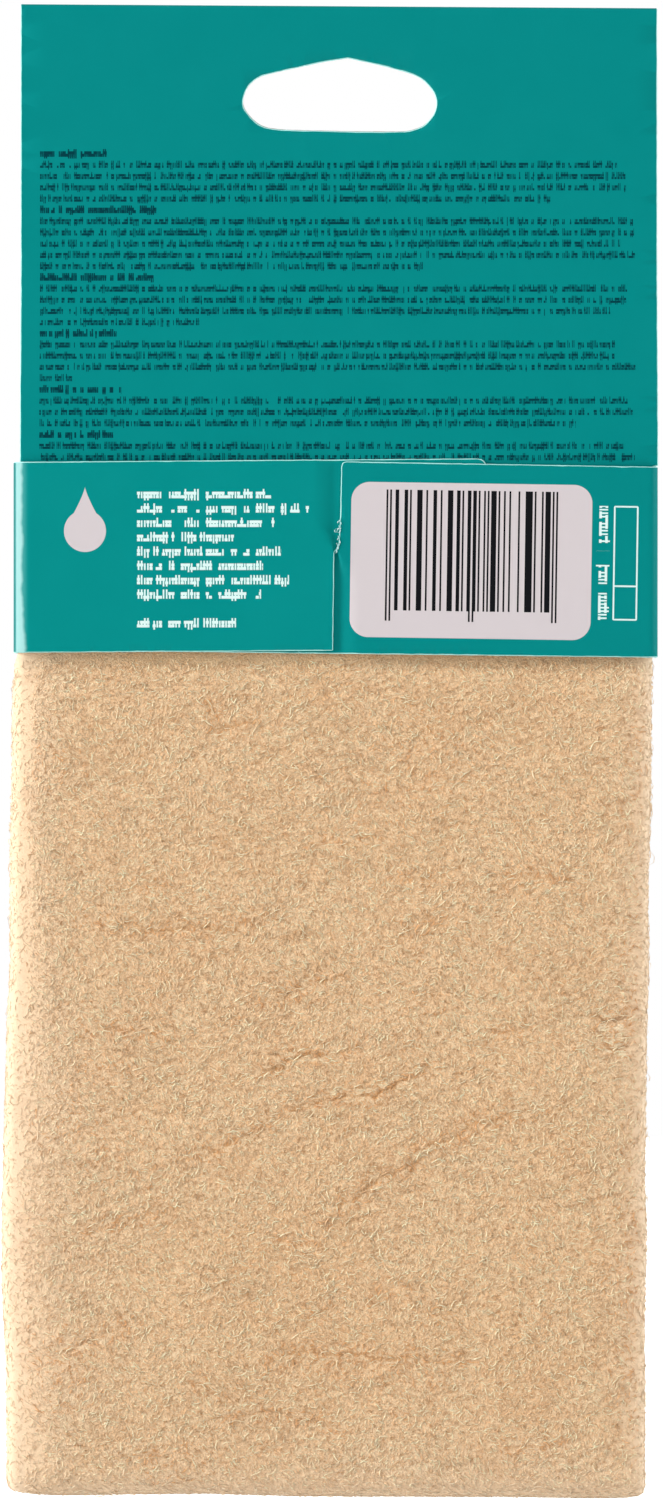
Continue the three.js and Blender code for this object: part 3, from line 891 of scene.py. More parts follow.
def header_place(line, skip, side):
    """Carries blank points to a header line, with the top edge's slope and a slight waviness."""

    def place(points):
        """The board's middle and its outward direction at points of the blank."""
        x, z = points.T
        where, outward = carry(line, down_the_line(line, skip, z), side)
        near_top = np.clip((z - 4 * MM) / (11 * MM), 0, 1)
        rise = (TOP_RISE[0] + TOP_RISE[1] * x) * near_top**2 * (3 - 2 * near_top)
        wave = soft_noise(x, z, 26 * MM, 5) * 0.05 * MM
        middle = np.column_stack([x, where[:, 0] + wave, where[:, 1] + rise])
        return middle, np.column_stack([np.zeros(len(x)), outward])

    return place


# %% Hanging slot
SLOT = [(348, 56.2), (380, 63), (400, 68.2), (415, 73), (424, 78.5), (431.2, 86), (435.5, 94)]
SLOT += [(436.8, 102.5), (433.7, 112.5), (425, 122.5), (415, 127.3), (402.5, 129.5), (370, 129.6)]
SLOT += [(337.5, 129.2), (300, 128.3), (275, 127), (262.5, 124.3), (253, 118), (245.5, 109)]
SLOT += [(242.6, 101), (244.5, 91), (249, 83), (256.5, 76.5), (267.5, 72), (300, 64.8), (325, 59.6)]
SLOT_STEPS = 6


def slot_outline(shift=(0, 0)):
    """The hanging slot: a flat bottom, round ends and a low peak, as a soft curve through its
    points. The curve's direction at a point is that from the point before to the point after,
    except at the peak, where the two sides run straight on."""
    knots = on_object(SLOT)
    before, after, beyond = (np.roll(knots, shift_by, axis=0) for shift_by in (1, -1, -2))
    pull = np.ones((len(knots), 2))
    pull[0, 0] = pull[-1, 1] = 0
    parts = []
    for i, here in enumerate(knots):
        go = (after[i] - before[i]) / 2 * pull[i, 0] + (after[i] - here) * (1 - pull[i, 0])
        come = (beyond[i] - here) / 2 * pull[i, 1] + (after[i] - here) * (1 - pull[i, 1])
        t = np.arange(SLOT_STEPS)[:, None] / SLOT_STEPS
        blend = 2 * t**3 - 3 * t**2
        between_points = (1 + blend) * here - blend * after[i]
        parts.append(between_points + (t**3 - 2 * t**2 + t) * go + (t**3 - t**2) * come)
    return np.vstack(parts) + np.array(shift)


# %% Back layer of the header
TAIL_LEFT, TAIL_RIGHT = -57.4 * MM, 57.1 * MM
fold_rows = FOLD_TOP + np.linspace(0, OVER_TOP, 11)
back_outline = [
    (TAIL_LEFT, TAIL_END), (TAIL_RIGHT, TAIL_END), (TAIL_RIGHT, SLEEVE_TOP - RIGHT_DROP - 0.1 * MM),
    (HEADER_RIGHT, SLEEVE_TOP - RIGHT_DROP + 0.25 * MM),
    *[(HEADER_RIGHT, row) for row in fold_rows], *[(HEADER_LEFT, row) for row in fold_rows[::-1]],
    (HEADER_LEFT, SLEEVE_TOP + 0.1 * MM), (TAIL_LEFT, SLEEVE_TOP - 0.7 * MM),
]
fold_net = np.array(np.meshgrid(np.arange(-58, 58.2, 0.9) * MM, fold_rows[:-1])).reshape(2, -1).T
header_columns = np.arange(-58, 58.5, 4) * MM
bend_rows = np.concatenate([np.arange(-66, -27, 1.3), np.arange(-27, 15, 4)]) * MM
header_back = board_piece(
    "header_back",
    back_outline,
    [slot_outline()],
    header_columns,
    np.concatenate([np.arange(-88, -66, 4) * MM, bend_rows]),
    header_place(back_line, OVER_TOP, -1),
    [header_finish, bare_side, cut_side],
    extra=fold_net,
    joined=lambda points: points[:, 1] > FOLD_TOP + OVER_TOP - TOUCH,
)
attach(header_back, "card")
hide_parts("header_back_panel")

# %% Front layer of the header and front of the sleeve
FRONT_BENDS = {"left": 1.0 * MM, "right": 0.5 * MM}
BACK_BENDS = {"left": 3.0 * MM, "right": 1.5 * MM}
SHORT_RUN = 0.6 * MM
FRONT_LEFT = WALL_LEFT + FRONT_BENDS["left"] + SHORT_RUN
FRONT_RIGHT = WALL_RIGHT - FRONT_BENDS["right"] - SHORT_RUN
front_outline = [
    (FRONT_LEFT, SLEEVE_BOTTOM), (FRONT_RIGHT, SLEEVE_BOTTOM), (FRONT_RIGHT, SLEEVE_TOP + 0.3 * MM),
    (HEADER_RIGHT, SLEEVE_TOP + 0.3 * MM), (HEADER_RIGHT, FOLD_TOP), (HEADER_LEFT, FOLD_TOP),
    (HEADER_LEFT, SLEEVE_TOP + 0.3 * MM), (FRONT_LEFT, SLEEVE_TOP + 0.3 * MM),
]


def joins_front(points):
    """Where the front panel goes on: over the top fold, and into the two side folds."""
    x, z = points.T
    beside = (x < FRONT_LEFT + TOUCH) | (x > FRONT_RIGHT - TOUCH)
    return (z > FOLD_TOP - TOUCH) | (beside & (z < SLEEVE_TOP))


front = board_piece(
    "front_board",
    front_outline,
    [slot_outline((0.05 * MM, 0.13 * MM))],
    header_columns,
    np.concatenate([np.arange(-101, -66, 4) * MM, bend_rows]),
    header_place(front_line, 0.0, 1),
    [plain_print, bare_side, cut_side],
    joined=joins_front,
    seed=2,
)
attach(front, "card")
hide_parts("front_panel")

# %% [markdown]
# ## The sleeve
# From the front panel the board turns round the edge of the leather and comes back as a wing on
# each side. The wings overlap in a simple lock: the upper half of the left wing dips under the
# right one, and the lower half of the right wing dips under the left one. Each wall is split in
# its middle here, where it is flat.


# %% Side folds
def side_fold(name, wall_x, bend, direction, drop, bodies, seed):
    """From the front panel's edge round the first crease to the middle of the side wall. The
    direction is -1 on the left and 1 on the right; drop is how much lower the wing starts."""
    moves = [(SHORT_RUN, 0), (bend * math.pi / 2, -90 * direction), (PANEL_PLANE - bend, 0)]
    foot = (wall_x - direction * (bend + SHORT_RUN), PANEL_PLANE)
    line = trace(foot, 90 - 90 * direction, moves)
    whole = line["along"][-1]

    def place(points):
        """The board's middle and its outward direction at points of the blank."""
        along, z = points.T
        where, outward = carry(line, along, direction)
        shear = drop * np.clip(along / whole, 0, 1)
        return np.column_stack([where, z - shear]), np.column_stack([outward, np.zeros(len(z))])

    piece = board_piece(
        name,
        [(0, SLEEVE_BOTTOM), (whole, SLEEVE_BOTTOM), (whole, SLEEVE_TOP), (0, SLEEVE_TOP)],
        [],
        np.concatenate([SHORT_RUN + np.linspace(0, bend * math.pi / 2, 9), [whole * 0.75]]),
        np.arange(-101, -68, 2) * MM,
        place,
        [plain_print, bare_side, cut_side],
        joined=lambda points: (points[:, 0] < TOUCH) | (points[:, 0] > whole - TOUCH),
        step=0.2 * MM,
        seed=seed,
    )
    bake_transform(piece)
    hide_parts(bodies[1] + "_wall")


side_fold(
    "left_front_fold", WALL_LEFT, FRONT_BENDS["left"], -1, 0.0, ("card", "left_side"), 11,
)
side_fold(
    "right_front_fold", WALL_RIGHT, FRONT_BENDS["right"], 1, RIGHT_DROP, ("card", "right_side"), 12,
)

# %% Wings with their tongues
LEFT_END, RIGHT_END = 26.9 * MM, -36.2 * MM
LEFT_FOOT_TILT, LEFT_HEAD_TILT = math.tan(math.radians(0.36)), 0.00768
RIGHT_FOOT_TILT, RIGHT_HEAD_TILT = 0.01204, 0.01745


def left_dip(x, z):
    """How far the left wing has dipped: all of it past the seam, above the crossing."""
    reach = ease((z - CROSSING) / (6 * MM))
    begin = -1.25 * MM - 3.45 * MM * reach
    return ease((x - begin) / (-0.7 * MM - begin)) * ease((z - CROSSING + 0.25 * MM) / (0.4 * MM))


def right_dip(x, z):
    """How far the right wing has dipped: all of it past the seam, below the crossing."""
    reach = ease((CROSSING - z) / (6 * MM))
    begin = -0.1 * MM + 3.5 * MM * reach
    return ease((begin - x) / (begin + 0.6 * MM)) * ease((CROSSING + 0.5 * MM - z) / (0.65 * MM))


def wing_piece(name, direction, wall_x, bend, crease, edge, dip, finish, nodes, seed):
    """From the middle of the side wall round the second crease to the end of the tongue. The
    edge is the outline past the crease, from one end of the crease to the other."""
    wall_run = WING_PLANE - bend
    moves = [(wall_run, 0), (bend * math.pi / 2, -90 * direction), (100 * MM, 0)]
    line = trace((wall_x, 0), -90, moves)
    to_crease = wall_run + bend * math.pi / 2
    end_x = crease + direction * to_crease

    def place(points):
        """The board's middle and its outward direction at points of the blank."""
        x, z = points.T
        where, outward = carry(line, to_crease - direction * (x - crease), direction)
        depth = dip(x, z) * (WING_PLANE - TONGUE_PLANE)
        flat = ease(np.abs(x - end_x) / (12 * MM))
        wave = soft_noise(x, z, 21 * MM, seed) * 0.06 * MM * flat
        where = where - outward * (depth - wave)[:, None]
        return np.column_stack([where, z]), np.column_stack([outward, np.zeros(len(z))])

    in_bend = crease + direction * np.linspace(0, bend * math.pi / 2, 13)
    columns = [in_bend, crease + np.linspace(-0.5, 0.5, 11) * MM, np.arange(-54, 54.5, 3) * MM]
    columns += [np.arange(-7, 7, 0.4) * MM, [crease + direction * to_crease * 0.8]]
    rows = [CROSSING + np.arange(-1.2, 1.3, 0.25) * MM, np.arange(-102, -66, 1.5) * MM]
    piece = board_piece(
        name,
        [(end_x, edge[0][1]), *edge, (end_x, edge[-1][1])],
        [],
        np.concatenate(columns),
        np.concatenate(rows),
        place,
        [finish, bare_side, cut_side],
        joined=lambda points: np.abs(points[:, 0] - end_x) < TOUCH,
        step=0.4 * MM,
        seed=seed,
    )
    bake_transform(piece)
    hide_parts(*nodes)


# %% Outlines of the wings
def on_edge(x, corner, tilt):
    """The point at x on a wing's upper or lower edge, which slopes evenly from a corner."""
    return x, corner[1] + abs(x - corner[0]) * tilt


# The outlines, with the seam where the wings meet, and the radii of their corners
left_foot, left_head = (CREASE_LEFT, SLEEVE_BOTTOM), (CREASE_LEFT, SLEEVE_TOP)
left_points = [
    left_foot, on_edge(-1.27 * MM, left_foot, LEFT_FOOT_TILT), (-1.02 * MM, -84.2 * MM),
    (-0.9 * MM, -83.75 * MM), (LEFT_END, -83.75 * MM), on_edge(LEFT_END, left_head, LEFT_HEAD_TILT),
    left_head,
]
left_edge = rounded(left_points, [0, 0.25 * MM, 0, 0, 2 * MM, 2 * MM, 0])
right_foot = (CREASE_RIGHT, SLEEVE_BOTTOM - RIGHT_DROP)
right_head = (CREASE_RIGHT, SLEEVE_TOP - RIGHT_DROP)
right_seam = [
    (0.06 * MM, -77.6 * MM), (-0.04 * MM, -78.2 * MM), (0.02 * MM, -79.0 * MM),
    (-0.12 * MM, -80.2 * MM), (-0.06 * MM, -81.0 * MM), (-0.2 * MM, -82.3 * MM),
    (-0.5 * MM, -83.2 * MM), (-0.95 * MM, -83.8 * MM), (-1.2 * MM, -84.05 * MM),
]
right_points = [
    right_head, on_edge(0.32 * MM, right_head, RIGHT_HEAD_TILT), *right_seam,
    (RIGHT_END, -84.05 * MM), on_edge(RIGHT_END, right_foot, RIGHT_FOOT_TILT), right_foot,
]
right_edge = rounded(right_points, [0, 1.0 * MM, *[0] * len(right_seam), 2 * MM, 2 * MM, 0])
wing_piece(
    "left_wing_board", -1, WALL_LEFT, BACK_BENDS["left"], CREASE_LEFT, left_edge, left_dip,
    left_finish, ("left_wing", "left_tongue"), 21,
)
wing_piece(
    "right_wing_board", 1, WALL_RIGHT, BACK_BENDS["right"], CREASE_RIGHT, right_edge, right_dip,
    right_finish, ("right_wing", "right_tongue"), 22,
)

# %% [markdown]
# ## The chamois skin
# The skin is one sheet, folded in thirds across its width and then in half, so it lies in six
# layers. Its section is drawn once as a line: a flap, round the right fold, across the outer
# layer, round the left fold, and the other flap. The section is then carried down the back, round
# the bottom fold and up the front. Its two long folds follow the photograph, which shows them
# bulge slowly to the left. Wrinkles and soft lumps are moved into the points of the outer layer.

# %% Section of the folded skin
SKIN, LAYER_PITCH, FLAP_PLANE = 1.0 * MM, 1.4 * MM, 0.8 * MM
OUTER_PLANE = FLAP_PLANE + 2 * LAYER_PITCH
HALF_PACK = OUTER_PLANE + SKIN / 2
HALF_WIDTH = 58.175 * MM
FLAP_INSET = 2.5 * MM


def section_side(way, long_step):
    """One side of the skin's section: points across and in depth, and how far each is from being
    on the outer layer. way is +1 for the outside of the folds and -1 for the inside."""
    middle = FLAP_PLANE + LAYER_PITCH
    right_radius, left_radius = LAYER_PITCH / 2, LAYER_PITCH
    right_x = HALF_WIDTH - right_radius - SKIN / 2
    left_x = left_radius + SKIN / 2 - HALF_WIDTH
    r, l = right_radius + way * SKIN / 2, left_radius + way * SKIN / 2
    turn_right = np.linspace(-np.pi / 2, np.pi / 2, 13)
    turn_left = np.linspace(np.pi / 2, 1.5 * np.pi, 15)
    flap_a = np.linspace(FLAP_INSET - HALF_WIDTH, right_x, 15)[:-1]
    outer = np.linspace(right_x, left_x, int((right_x - left_x) / long_step) + 1)[1:-1]
    flap_b = np.linspace(left_x, HALF_WIDTH - FLAP_INSET, 15)[1:]
    right_turn, left_turn = right_x + r * np.cos(turn_right), left_x + l * np.cos(turn_left)
    across_all = np.concatenate([flap_a, right_turn, outer, left_turn, flap_b])
    depth = np.concatenate([
        np.full(len(flap_a), middle - way * SKIN / 2),
        middle + right_radius + r * np.sin(turn_right),
        np.full(len(outer), OUTER_PLANE + way * SKIN / 2),
        middle + l * np.sin(turn_left),
        np.full(len(flap_b), FLAP_PLANE - way * SKIN / 2),
    ])
    outside = np.concatenate([
        np.zeros(len(flap_a)), ease((turn_right + np.pi / 2) / np.pi), np.ones(len(outer)),
        1 - ease((turn_left - np.pi / 2) / np.pi), np.zeros(len(flap_b)),
    ]) * (way > 0)
    return across_all, depth, outside


# %% Edges and creases
# Long edges: pixel columns at pixel rows. The bottom edge: pixel rows at pixel columns
LEFT_EDGE = [(460, 17.4), (652, 17.4), (657, 15.6), (664, 14), (700, 12), (790, 10.5), (850, 9)]
LEFT_EDGE += [(970, 9), (1000, 7), (1060, 5.5), (1120, 3.5), (1180, 2), (1225, 1), (1270, 0.5)]
LEFT_EDGE += [(1300, 2), (1360, 5), (1480, 6), (1492, 7)]
RIGHT_EDGE = [(460, 653.3), (652, 653.3), (664, 652.6), (700, 652), (820, 650.5), (880, 648.5)]
RIGHT_EDGE += [(970, 648.5), (1030, 647), (1120, 646), (1180, 645), (1225, 647), (1270, 646)]
RIGHT_EDGE += [(1330, 645.3), (1480, 645.5), (1492, 644)]
FOOT_EDGE = [(0, 1492), (60, 1494), (200, 1492.3), (300, 1495), (500, 1495.5), (600, 1497)]
FOOT_EDGE += [(663, 1496)]
# Creases: how strong each is, and its line in pixels
CREASES = [
    (0.6, [(129, 883), (171, 883)]),
    (0.9, [(66, 925), (120, 926), (150, 934), (231, 925), (282, 907)]),
    (0.6, [(396, 932), (462, 916)]), (0.6, [(378, 877), (444, 877)]),
    (0.8, [(498, 889), (540, 874), (576, 880)]),
    (0.8, [(234, 1000), (282, 997), (327, 982), (366, 970)]),
    (0.8, [(72, 1033), (144, 1030), (180, 1039)]),
    (0.7, [(72, 1073), (147, 1065)]), (1.0, [(255, 1081), (282, 1060), (324, 1052), (360, 1050)]),
    (1.0, [(270, 1120), (312, 1104), (350, 1096), (370, 1097), (410, 1076), (444, 1063)]),
    (0.8, [(489, 1036), (534, 1024)]),
    (1.5, [(594, 1018), (612, 1023), (633, 1020)]), (1.7, [(600, 1042), (616, 1047), (634, 1042)]),
    (0.9, [(180, 1165), (258, 1132), (270, 1120)]),
    (0.8, [(384, 1144), (444, 1144), (498, 1117), (558, 1114)]),
    (0.9, [(324, 1231), (340, 1205), (360, 1195), (384, 1180), (444, 1147)]),
    (0.7, [(264, 1237), (312, 1246), (336, 1222)]),
    (0.9, [(78, 1234), (120, 1225), (180, 1204)]), (0.7, [(516, 1252), (552, 1246)]),
    (0.7, [(420, 1324), (468, 1306)]), (0.7, [(306, 1318), (348, 1306)]),
    (0.7, [(369, 1297), (420, 1285)]), (0.9, [(48, 1360), (120, 1330), (150, 1330)]),
    (0.9, [(240, 1375), (300, 1354), (336, 1354), (390, 1360), (480, 1357)]),
    (0.7, [(180, 1384), (240, 1396)]),
    (0.9, [(210, 1426), (270, 1414), (312, 1420), (354, 1435)]), (0.8, [(498, 1447), (570, 1441)]),
    (0.7, [(120, 1462), (168, 1453)]), (0.7, [(205, 700), (218, 728), (262, 722)]),
    (0.5, [(300, 850), (350, 838), (390, 842)]),
]
CREASE_REACH = 4 * MM
# In millimetres: half the width and the depth of a crease's groove
GROOVE_WIDTH, GROOVE_DEPTH = 0.9, 0.16


def edge_at(table, z):
    """Place of a long edge at a height."""
    rows, columns = np.array(table, float).T
    return by_row(z, rows, across(columns))


def highlight_reach(z):
    """How far the painted highlight along the left fold reaches inward: further in the lower half.
    """
    return by_row(z, [900, 1080], [5.4, 9.5]) * MM


def near_crease(x, z):
    """The signed distance to the nearest crease line, more than 0 above it, and how strong the
    crease is there: it fades at both ends. The lines wander a little from side to side."""
    x, z = x + soft_noise(x, z, 4 * MM, 61) * 0.8 * MM, z + soft_noise(x, z, 5 * MM, 62) * 1.0 * MM
    gap, strength = np.full(x.shape, CREASE_REACH), np.zeros(x.shape)
    for full, line in CREASES:
        places = on_object(line)
        length = np.concatenate([[0], np.cumsum(np.linalg.norm(np.diff(places, axis=0), axis=1))])
        low, high = places.min(axis=0) - CREASE_REACH, places.max(axis=0) + CREASE_REACH
        box = (x > low[0]) & (x < high[0]) & (z > low[1]) & (z < high[1])
        px, pz, best, share = x[box], z[box], gap[box], strength[box]
        for i, step in enumerate(np.diff(places, axis=0)):
            rx, rz = px - places[i, 0], pz - places[i, 1]
            t = np.clip((rx * step[0] + rz * step[1]) / (step @ step), 0, 1)
            away = np.hypot(rx - t * step[0], rz - t * step[1])
            side = np.where(rz * step[0] > rx * step[1], 1, -1)
            nearer = away < np.abs(best)
            best = np.where(nearer, away * side, best)
            at = (length[i] + t * (length[i + 1] - length[i])) / length[-1]
            share = np.where(nearer, full * np.sqrt(np.clip(4 * at * (1 - at), 0, 1)), share)
        gap[box], strength[box] = best, share
    return gap, strength


# %% Lumps and swelling
def relief(x, z, seed):
    """Lumps of the soft skin: slow swellings, mid-size dimples, and fine puckers."""
    slow = soft_noise(x, z, 31 * MM, seed) * 0.16
    dimple = soft_noise(x + z * 0.3, z * 1.7 - x * 0.3, 9 * MM, seed + 1) * 0.04
    pucker = soft_noise(x + z * 0.3, z * 1.9 - x * 0.4, 3.1 * MM, seed + 2) * 0.014
    return (slow + dimple + pucker) * MM


# %% The section carried round
# How much thicker the layers lie together at these pixel rows below the sleeve, as a share
SWELL_ROWS = [655, 664, 690, 740, 860, 1200, 1420, 1500]
SWELL = [0, 0.05, 0.13, 0.15, 0.15, 0.15, 0.09, 0.05]


PILLOW, PILLOW_POWER, PILLOW_LEFT, PILLOW_RIGHT = 0.30, 2.3, 8.5 * MM, 5.5 * MM


def pillow(from_left, from_right):
    """How far the layers swell away from the long folds, as a share: quick at first, then level."""
    left = 1 - np.clip(1 - from_left / PILLOW_LEFT, 0, 1) ** PILLOW_POWER
    right = 1 - np.clip(1 - from_right / PILLOW_RIGHT, 0, 1) ** PILLOW_POWER
    return PILLOW * left * right


def carry_section(across_all, depth, outside, share_rows):
    """Every point of a section side at every station. A station is a height and a turn: 0 on the
    back half, half a circle on the front half, and between them round the bottom fold."""
    heights, turns = share_rows
    u = across_all[None, :] / (2 * HALF_WIDTH) + 0.5
    z = heights[:, None] + 0 * u
    left, right = edge_at(LEFT_EDGE, z), edge_at(RIGHT_EDGE, z)
    x = left + (right - left) * u
    below = ease((SLEEVE_BOTTOM - 0.5 * MM - z) / (9 * MM))
    on_back = turns[:, None] < np.pi / 2
    gap, strength = near_crease(x, z)
    gap = np.where(on_back & (outside[None, :] > 0.5), gap, CREASE_REACH)
    groove = np.exp(-((gap / (GROOVE_WIDTH * MM)) ** 2)) * strength**1.5 * GROOVE_DEPTH * MM
    bumps = np.where(on_back, relief(x, z, 31), relief(x, z, 41)) - groove
    at_fold = np.abs(np.cos(turns))[:, None] * below * outside[None, :]
    puff = pillow(x - left, right - x) * below * by_row(z, [1380, 1494], [1, 0.35])
    swell = by_row(z, SWELL_ROWS, SWELL)
    thick = depth[None, :] * (1 + swell + puff) + bumps * at_fold
    foot_columns, foot_rows = np.array(FOOT_EDGE, float).T
    foot = upward(np.interp(x, across(foot_columns), foot_rows))
    foot_rise = (foot - foot.mean()) * ease((-200 * MM - z) / (50 * MM))
    side = soft_noise(z, u * 0, 13 * MM, 77) * 0.12 * MM
    side = side + soft_noise(z, u * 0, 4 * MM, 78) * 0.06 * MM
    # Painted highlight along both long folds, where the side lamps wrap round them
    rim_highlight = 0.82 * np.exp(-(x - left) / highlight_reach(z)) + 0.95 * np.exp(-(right - x) / (3 * MM))
    x = x + side * below * (2 * np.abs(u - 0.5)) ** 8
    y = -thick * np.cos(turns)[:, None]
    z = z + foot_rise - thick * np.sin(turns)[:, None]
    # A weaker painted highlight along the bottom fold
    rim_highlight = np.maximum(rim_highlight, 0.42 * np.exp(-(z - FOOT_Z) / (7 * MM)))
    marks = np.stack([gap / MM, strength * outside[None, :], rim_highlight * (outside[None, :] > 0)], axis=-1)
    return np.stack([x, y, z], axis=-1), marks


# %% Stations and faces of the skin
TOP_OF_SKIN = -69.4 * MM
FOOT_Z = float(upward(1494.6))
FOLD_Z = FOOT_Z + HALF_PACK * 1.05
BACK_STEP, FRONT_STEP, OUTER_STEP, INNER_STEP = 0.8 * MM, 1.3 * MM, 0.85 * MM, 7 * MM
hidden = np.linspace(TOP_OF_SKIN, SLEEVE_BOTTOM + 3 * MM, 9)
back_heights = np.arange(SLEEVE_BOTTOM + 2.2 * MM, FOLD_Z, -BACK_STEP)
back_heights = np.concatenate([hidden, back_heights, [FOLD_Z]])
front_heights = np.arange(FOLD_Z + FRONT_STEP, SLEEVE_BOTTOM + 2 * MM, FRONT_STEP)
front_heights = np.concatenate([[FOLD_Z], front_heights, hidden[::-1]])
bend_turns = np.linspace(0, np.pi, 17)[1:-1]
station_heights = np.concatenate([back_heights, np.full(len(bend_turns), FOLD_Z), front_heights])
no_turns, half_turns = np.zeros(len(back_heights)), np.full(len(front_heights), np.pi)
station_turns = np.concatenate([no_turns, bend_turns, half_turns])
outer_section, inner_section = section_side(1, OUTER_STEP), section_side(-1, INNER_STEP)
outer_side, outer_marks = carry_section(*outer_section, (station_heights, station_turns))
inner_side, inner_marks = carry_section(*inner_section, (station_heights, station_turns))
loop = np.concatenate([outer_side, inner_side[:, ::-1]], axis=1)
mark_loop = np.concatenate([outer_marks, inner_marks[:, ::-1]], axis=1)
stations, around = loop.shape[:2]
numbers = np.arange(stations * around).reshape(stations, around)
here, down = numbers[:-1], numbers[1:]
quads = [here, np.roll(here, -1, axis=1), np.roll(down, -1, axis=1), down]
quads = np.stack(quads, axis=-1).reshape(-1, 4)


def close_end(ring, first, forward):
    """Triangles that close an end of the skin, across the section's flat outline."""
    ring = [Vector(p) for p in (ring / MM).tolist()]
    caps = np.array(flat_geometry.tessellate_polygon([ring]))
    return (caps if runs_along(caps, 0, 1) == forward else caps[:, ::-1]) + first


caps = np.vstack([close_end(loop[0], 0, False), close_end(loop[-1], (stations - 1) * around, True)])
print("skin:", stations, "stations of", around, "points,", len(quads) * 2 + len(caps), "triangles")

# %% [markdown]
# ## Sueded nap
# Chamois is brushed on both sides until short fibres stand up. Seen close, the nap is a felt of
# pale curled tips over darker gaps. The finish draws it at three sizes: fine fibres, tufts under
# a millimetre wide, and slow patches where the nap was stroked one way. Creases show orange brown,
# because the nap parts there, with some painted shade in them and a painted highlight beside them.
# A weak sheen and a painted highlight make the folded edges look pale and soft.


# %% Nap as a shader group
def thin_lines(vector, size, sharpness):
    """Thin curved lines: where noise crosses its middle value."""
    return 1.0 - abs(speckle(vector, size, 1.5, 0.55) - 0.5) * sharpness


def drawn_out(vector):
    """A vector turned by 18 degrees and squeezed along its slope: noise read at it is drawn out."""
    x, y, z = split(vector)
    return combine((z * 0.31 + x * 0.95) * 0.17, y, x * -0.31 + z * 0.95)


def build_nap():
    """Tips: pale curled fibre ends. Gaps: fine dark specks. Rough: where the nap stands up most.
    Warm: patches with more colour. Fold and Ridge: small wrinkles that rise to the right, drawn as
    warm lines that are partly painted shade, and a painted highlight on the nap above each.
    Relief: height."""
    outputs = ["Tips", "Gaps", "Rough", "Warm", "Fold", "Ridge Highlight", "Relief"]
    tree, given, result = new_group("sueded_nap", {"Place": (0, 0, 0)}, outputs)
    place = given["Place"]
    slow_noise = {"Vector": place, "Scale": 1 / (2.0 * MM), "Detail": 1.0}
    drift = make_node(tree, "ShaderNodeTexNoise", slow_noise, "Color")
    centred = moved(drift, (-0.5, -0.5, -0.5))
    curl = make_node(tree, "ShaderNodeVectorMath", {0: centred, 3: 1.1 * MM}, operation="SCALE")
    curled = moved(place, curl)
    coarse = thin_lines(curled, 0.88 * MM, 15.0)
    fine = thin_lines(moved(curled, (0.31, 0.17, 0.23)), 0.6 * MM, 11.0)
    tips = between(larger(coarse, fine), 0.1, 0.95)
    grain = speckle(place, 0.36 * MM, 1.0, 0.5) * 0.85 + speckle(curled, 0.7 * MM, 1.5, 0.5) * 0.15
    rough = between(speckle(place, 9 * MM, 3.0, 0.6), 0.38, 0.6, 0.78, 1.0)
    warm = between(speckle(moved(curled, (0.5, 0.1, 0.7)), 5 * MM, 3.0, 0.65), 0.48, 0.68)
    wrinkled = between(speckle(place, 15 * MM, 2.0, 0.6), 0.44, 0.58)
    slope = drawn_out(curled)
    fold = between(thin_lines(slope, 3.6 * MM, 7.5), 0.4, 0.95) * wrinkled
    # A painted highlight just above each small wrinkle
    above = moved(slope, (0, 0, -0.4 * MM))
    ridge_highlight = between(thin_lines(above, 3.6 * MM, 7.5), 0.4, 0.95) * wrinkled
    height = (tips * 0.5 + grain * 1.3) * rough + (ridge_highlight - fold) * 0.5
    values = (tips, between(grain, 0.46, 0.34), rough, warm, fold, ridge_highlight, height)
    plug(result, dict(zip(outputs, values)))
    return tree


# %% Chamois finish
NAP = build_nap()
# The rim colour is a painted highlight at the folds.
CHAMOIS, CHAMOIS_UP, CHAMOIS_RIM_HIGHLIGHT = srgb(239, 196, 150), srgb(244, 202, 156), srgb(250, 227, 197)
CHAMOIS_TIP, CHAMOIS_GAP = srgb(254, 230, 191), srgb(190, 140, 92)
# The pressed colour is a painted shadow just under the sleeve.
CHAMOIS_WARM, CHAMOIS_SLEEVE_SHADOW = srgb(217, 161, 107), srgb(190, 150, 106)
# The crease brown is partly painted shade.
CREASE_BROWN_AND_SHADE = srgb(166, 117, 70)
TIP_SHARE, GAP_SHARE, RELIEF_DEPTH = 0.6, 0.48, 0.2 * MM


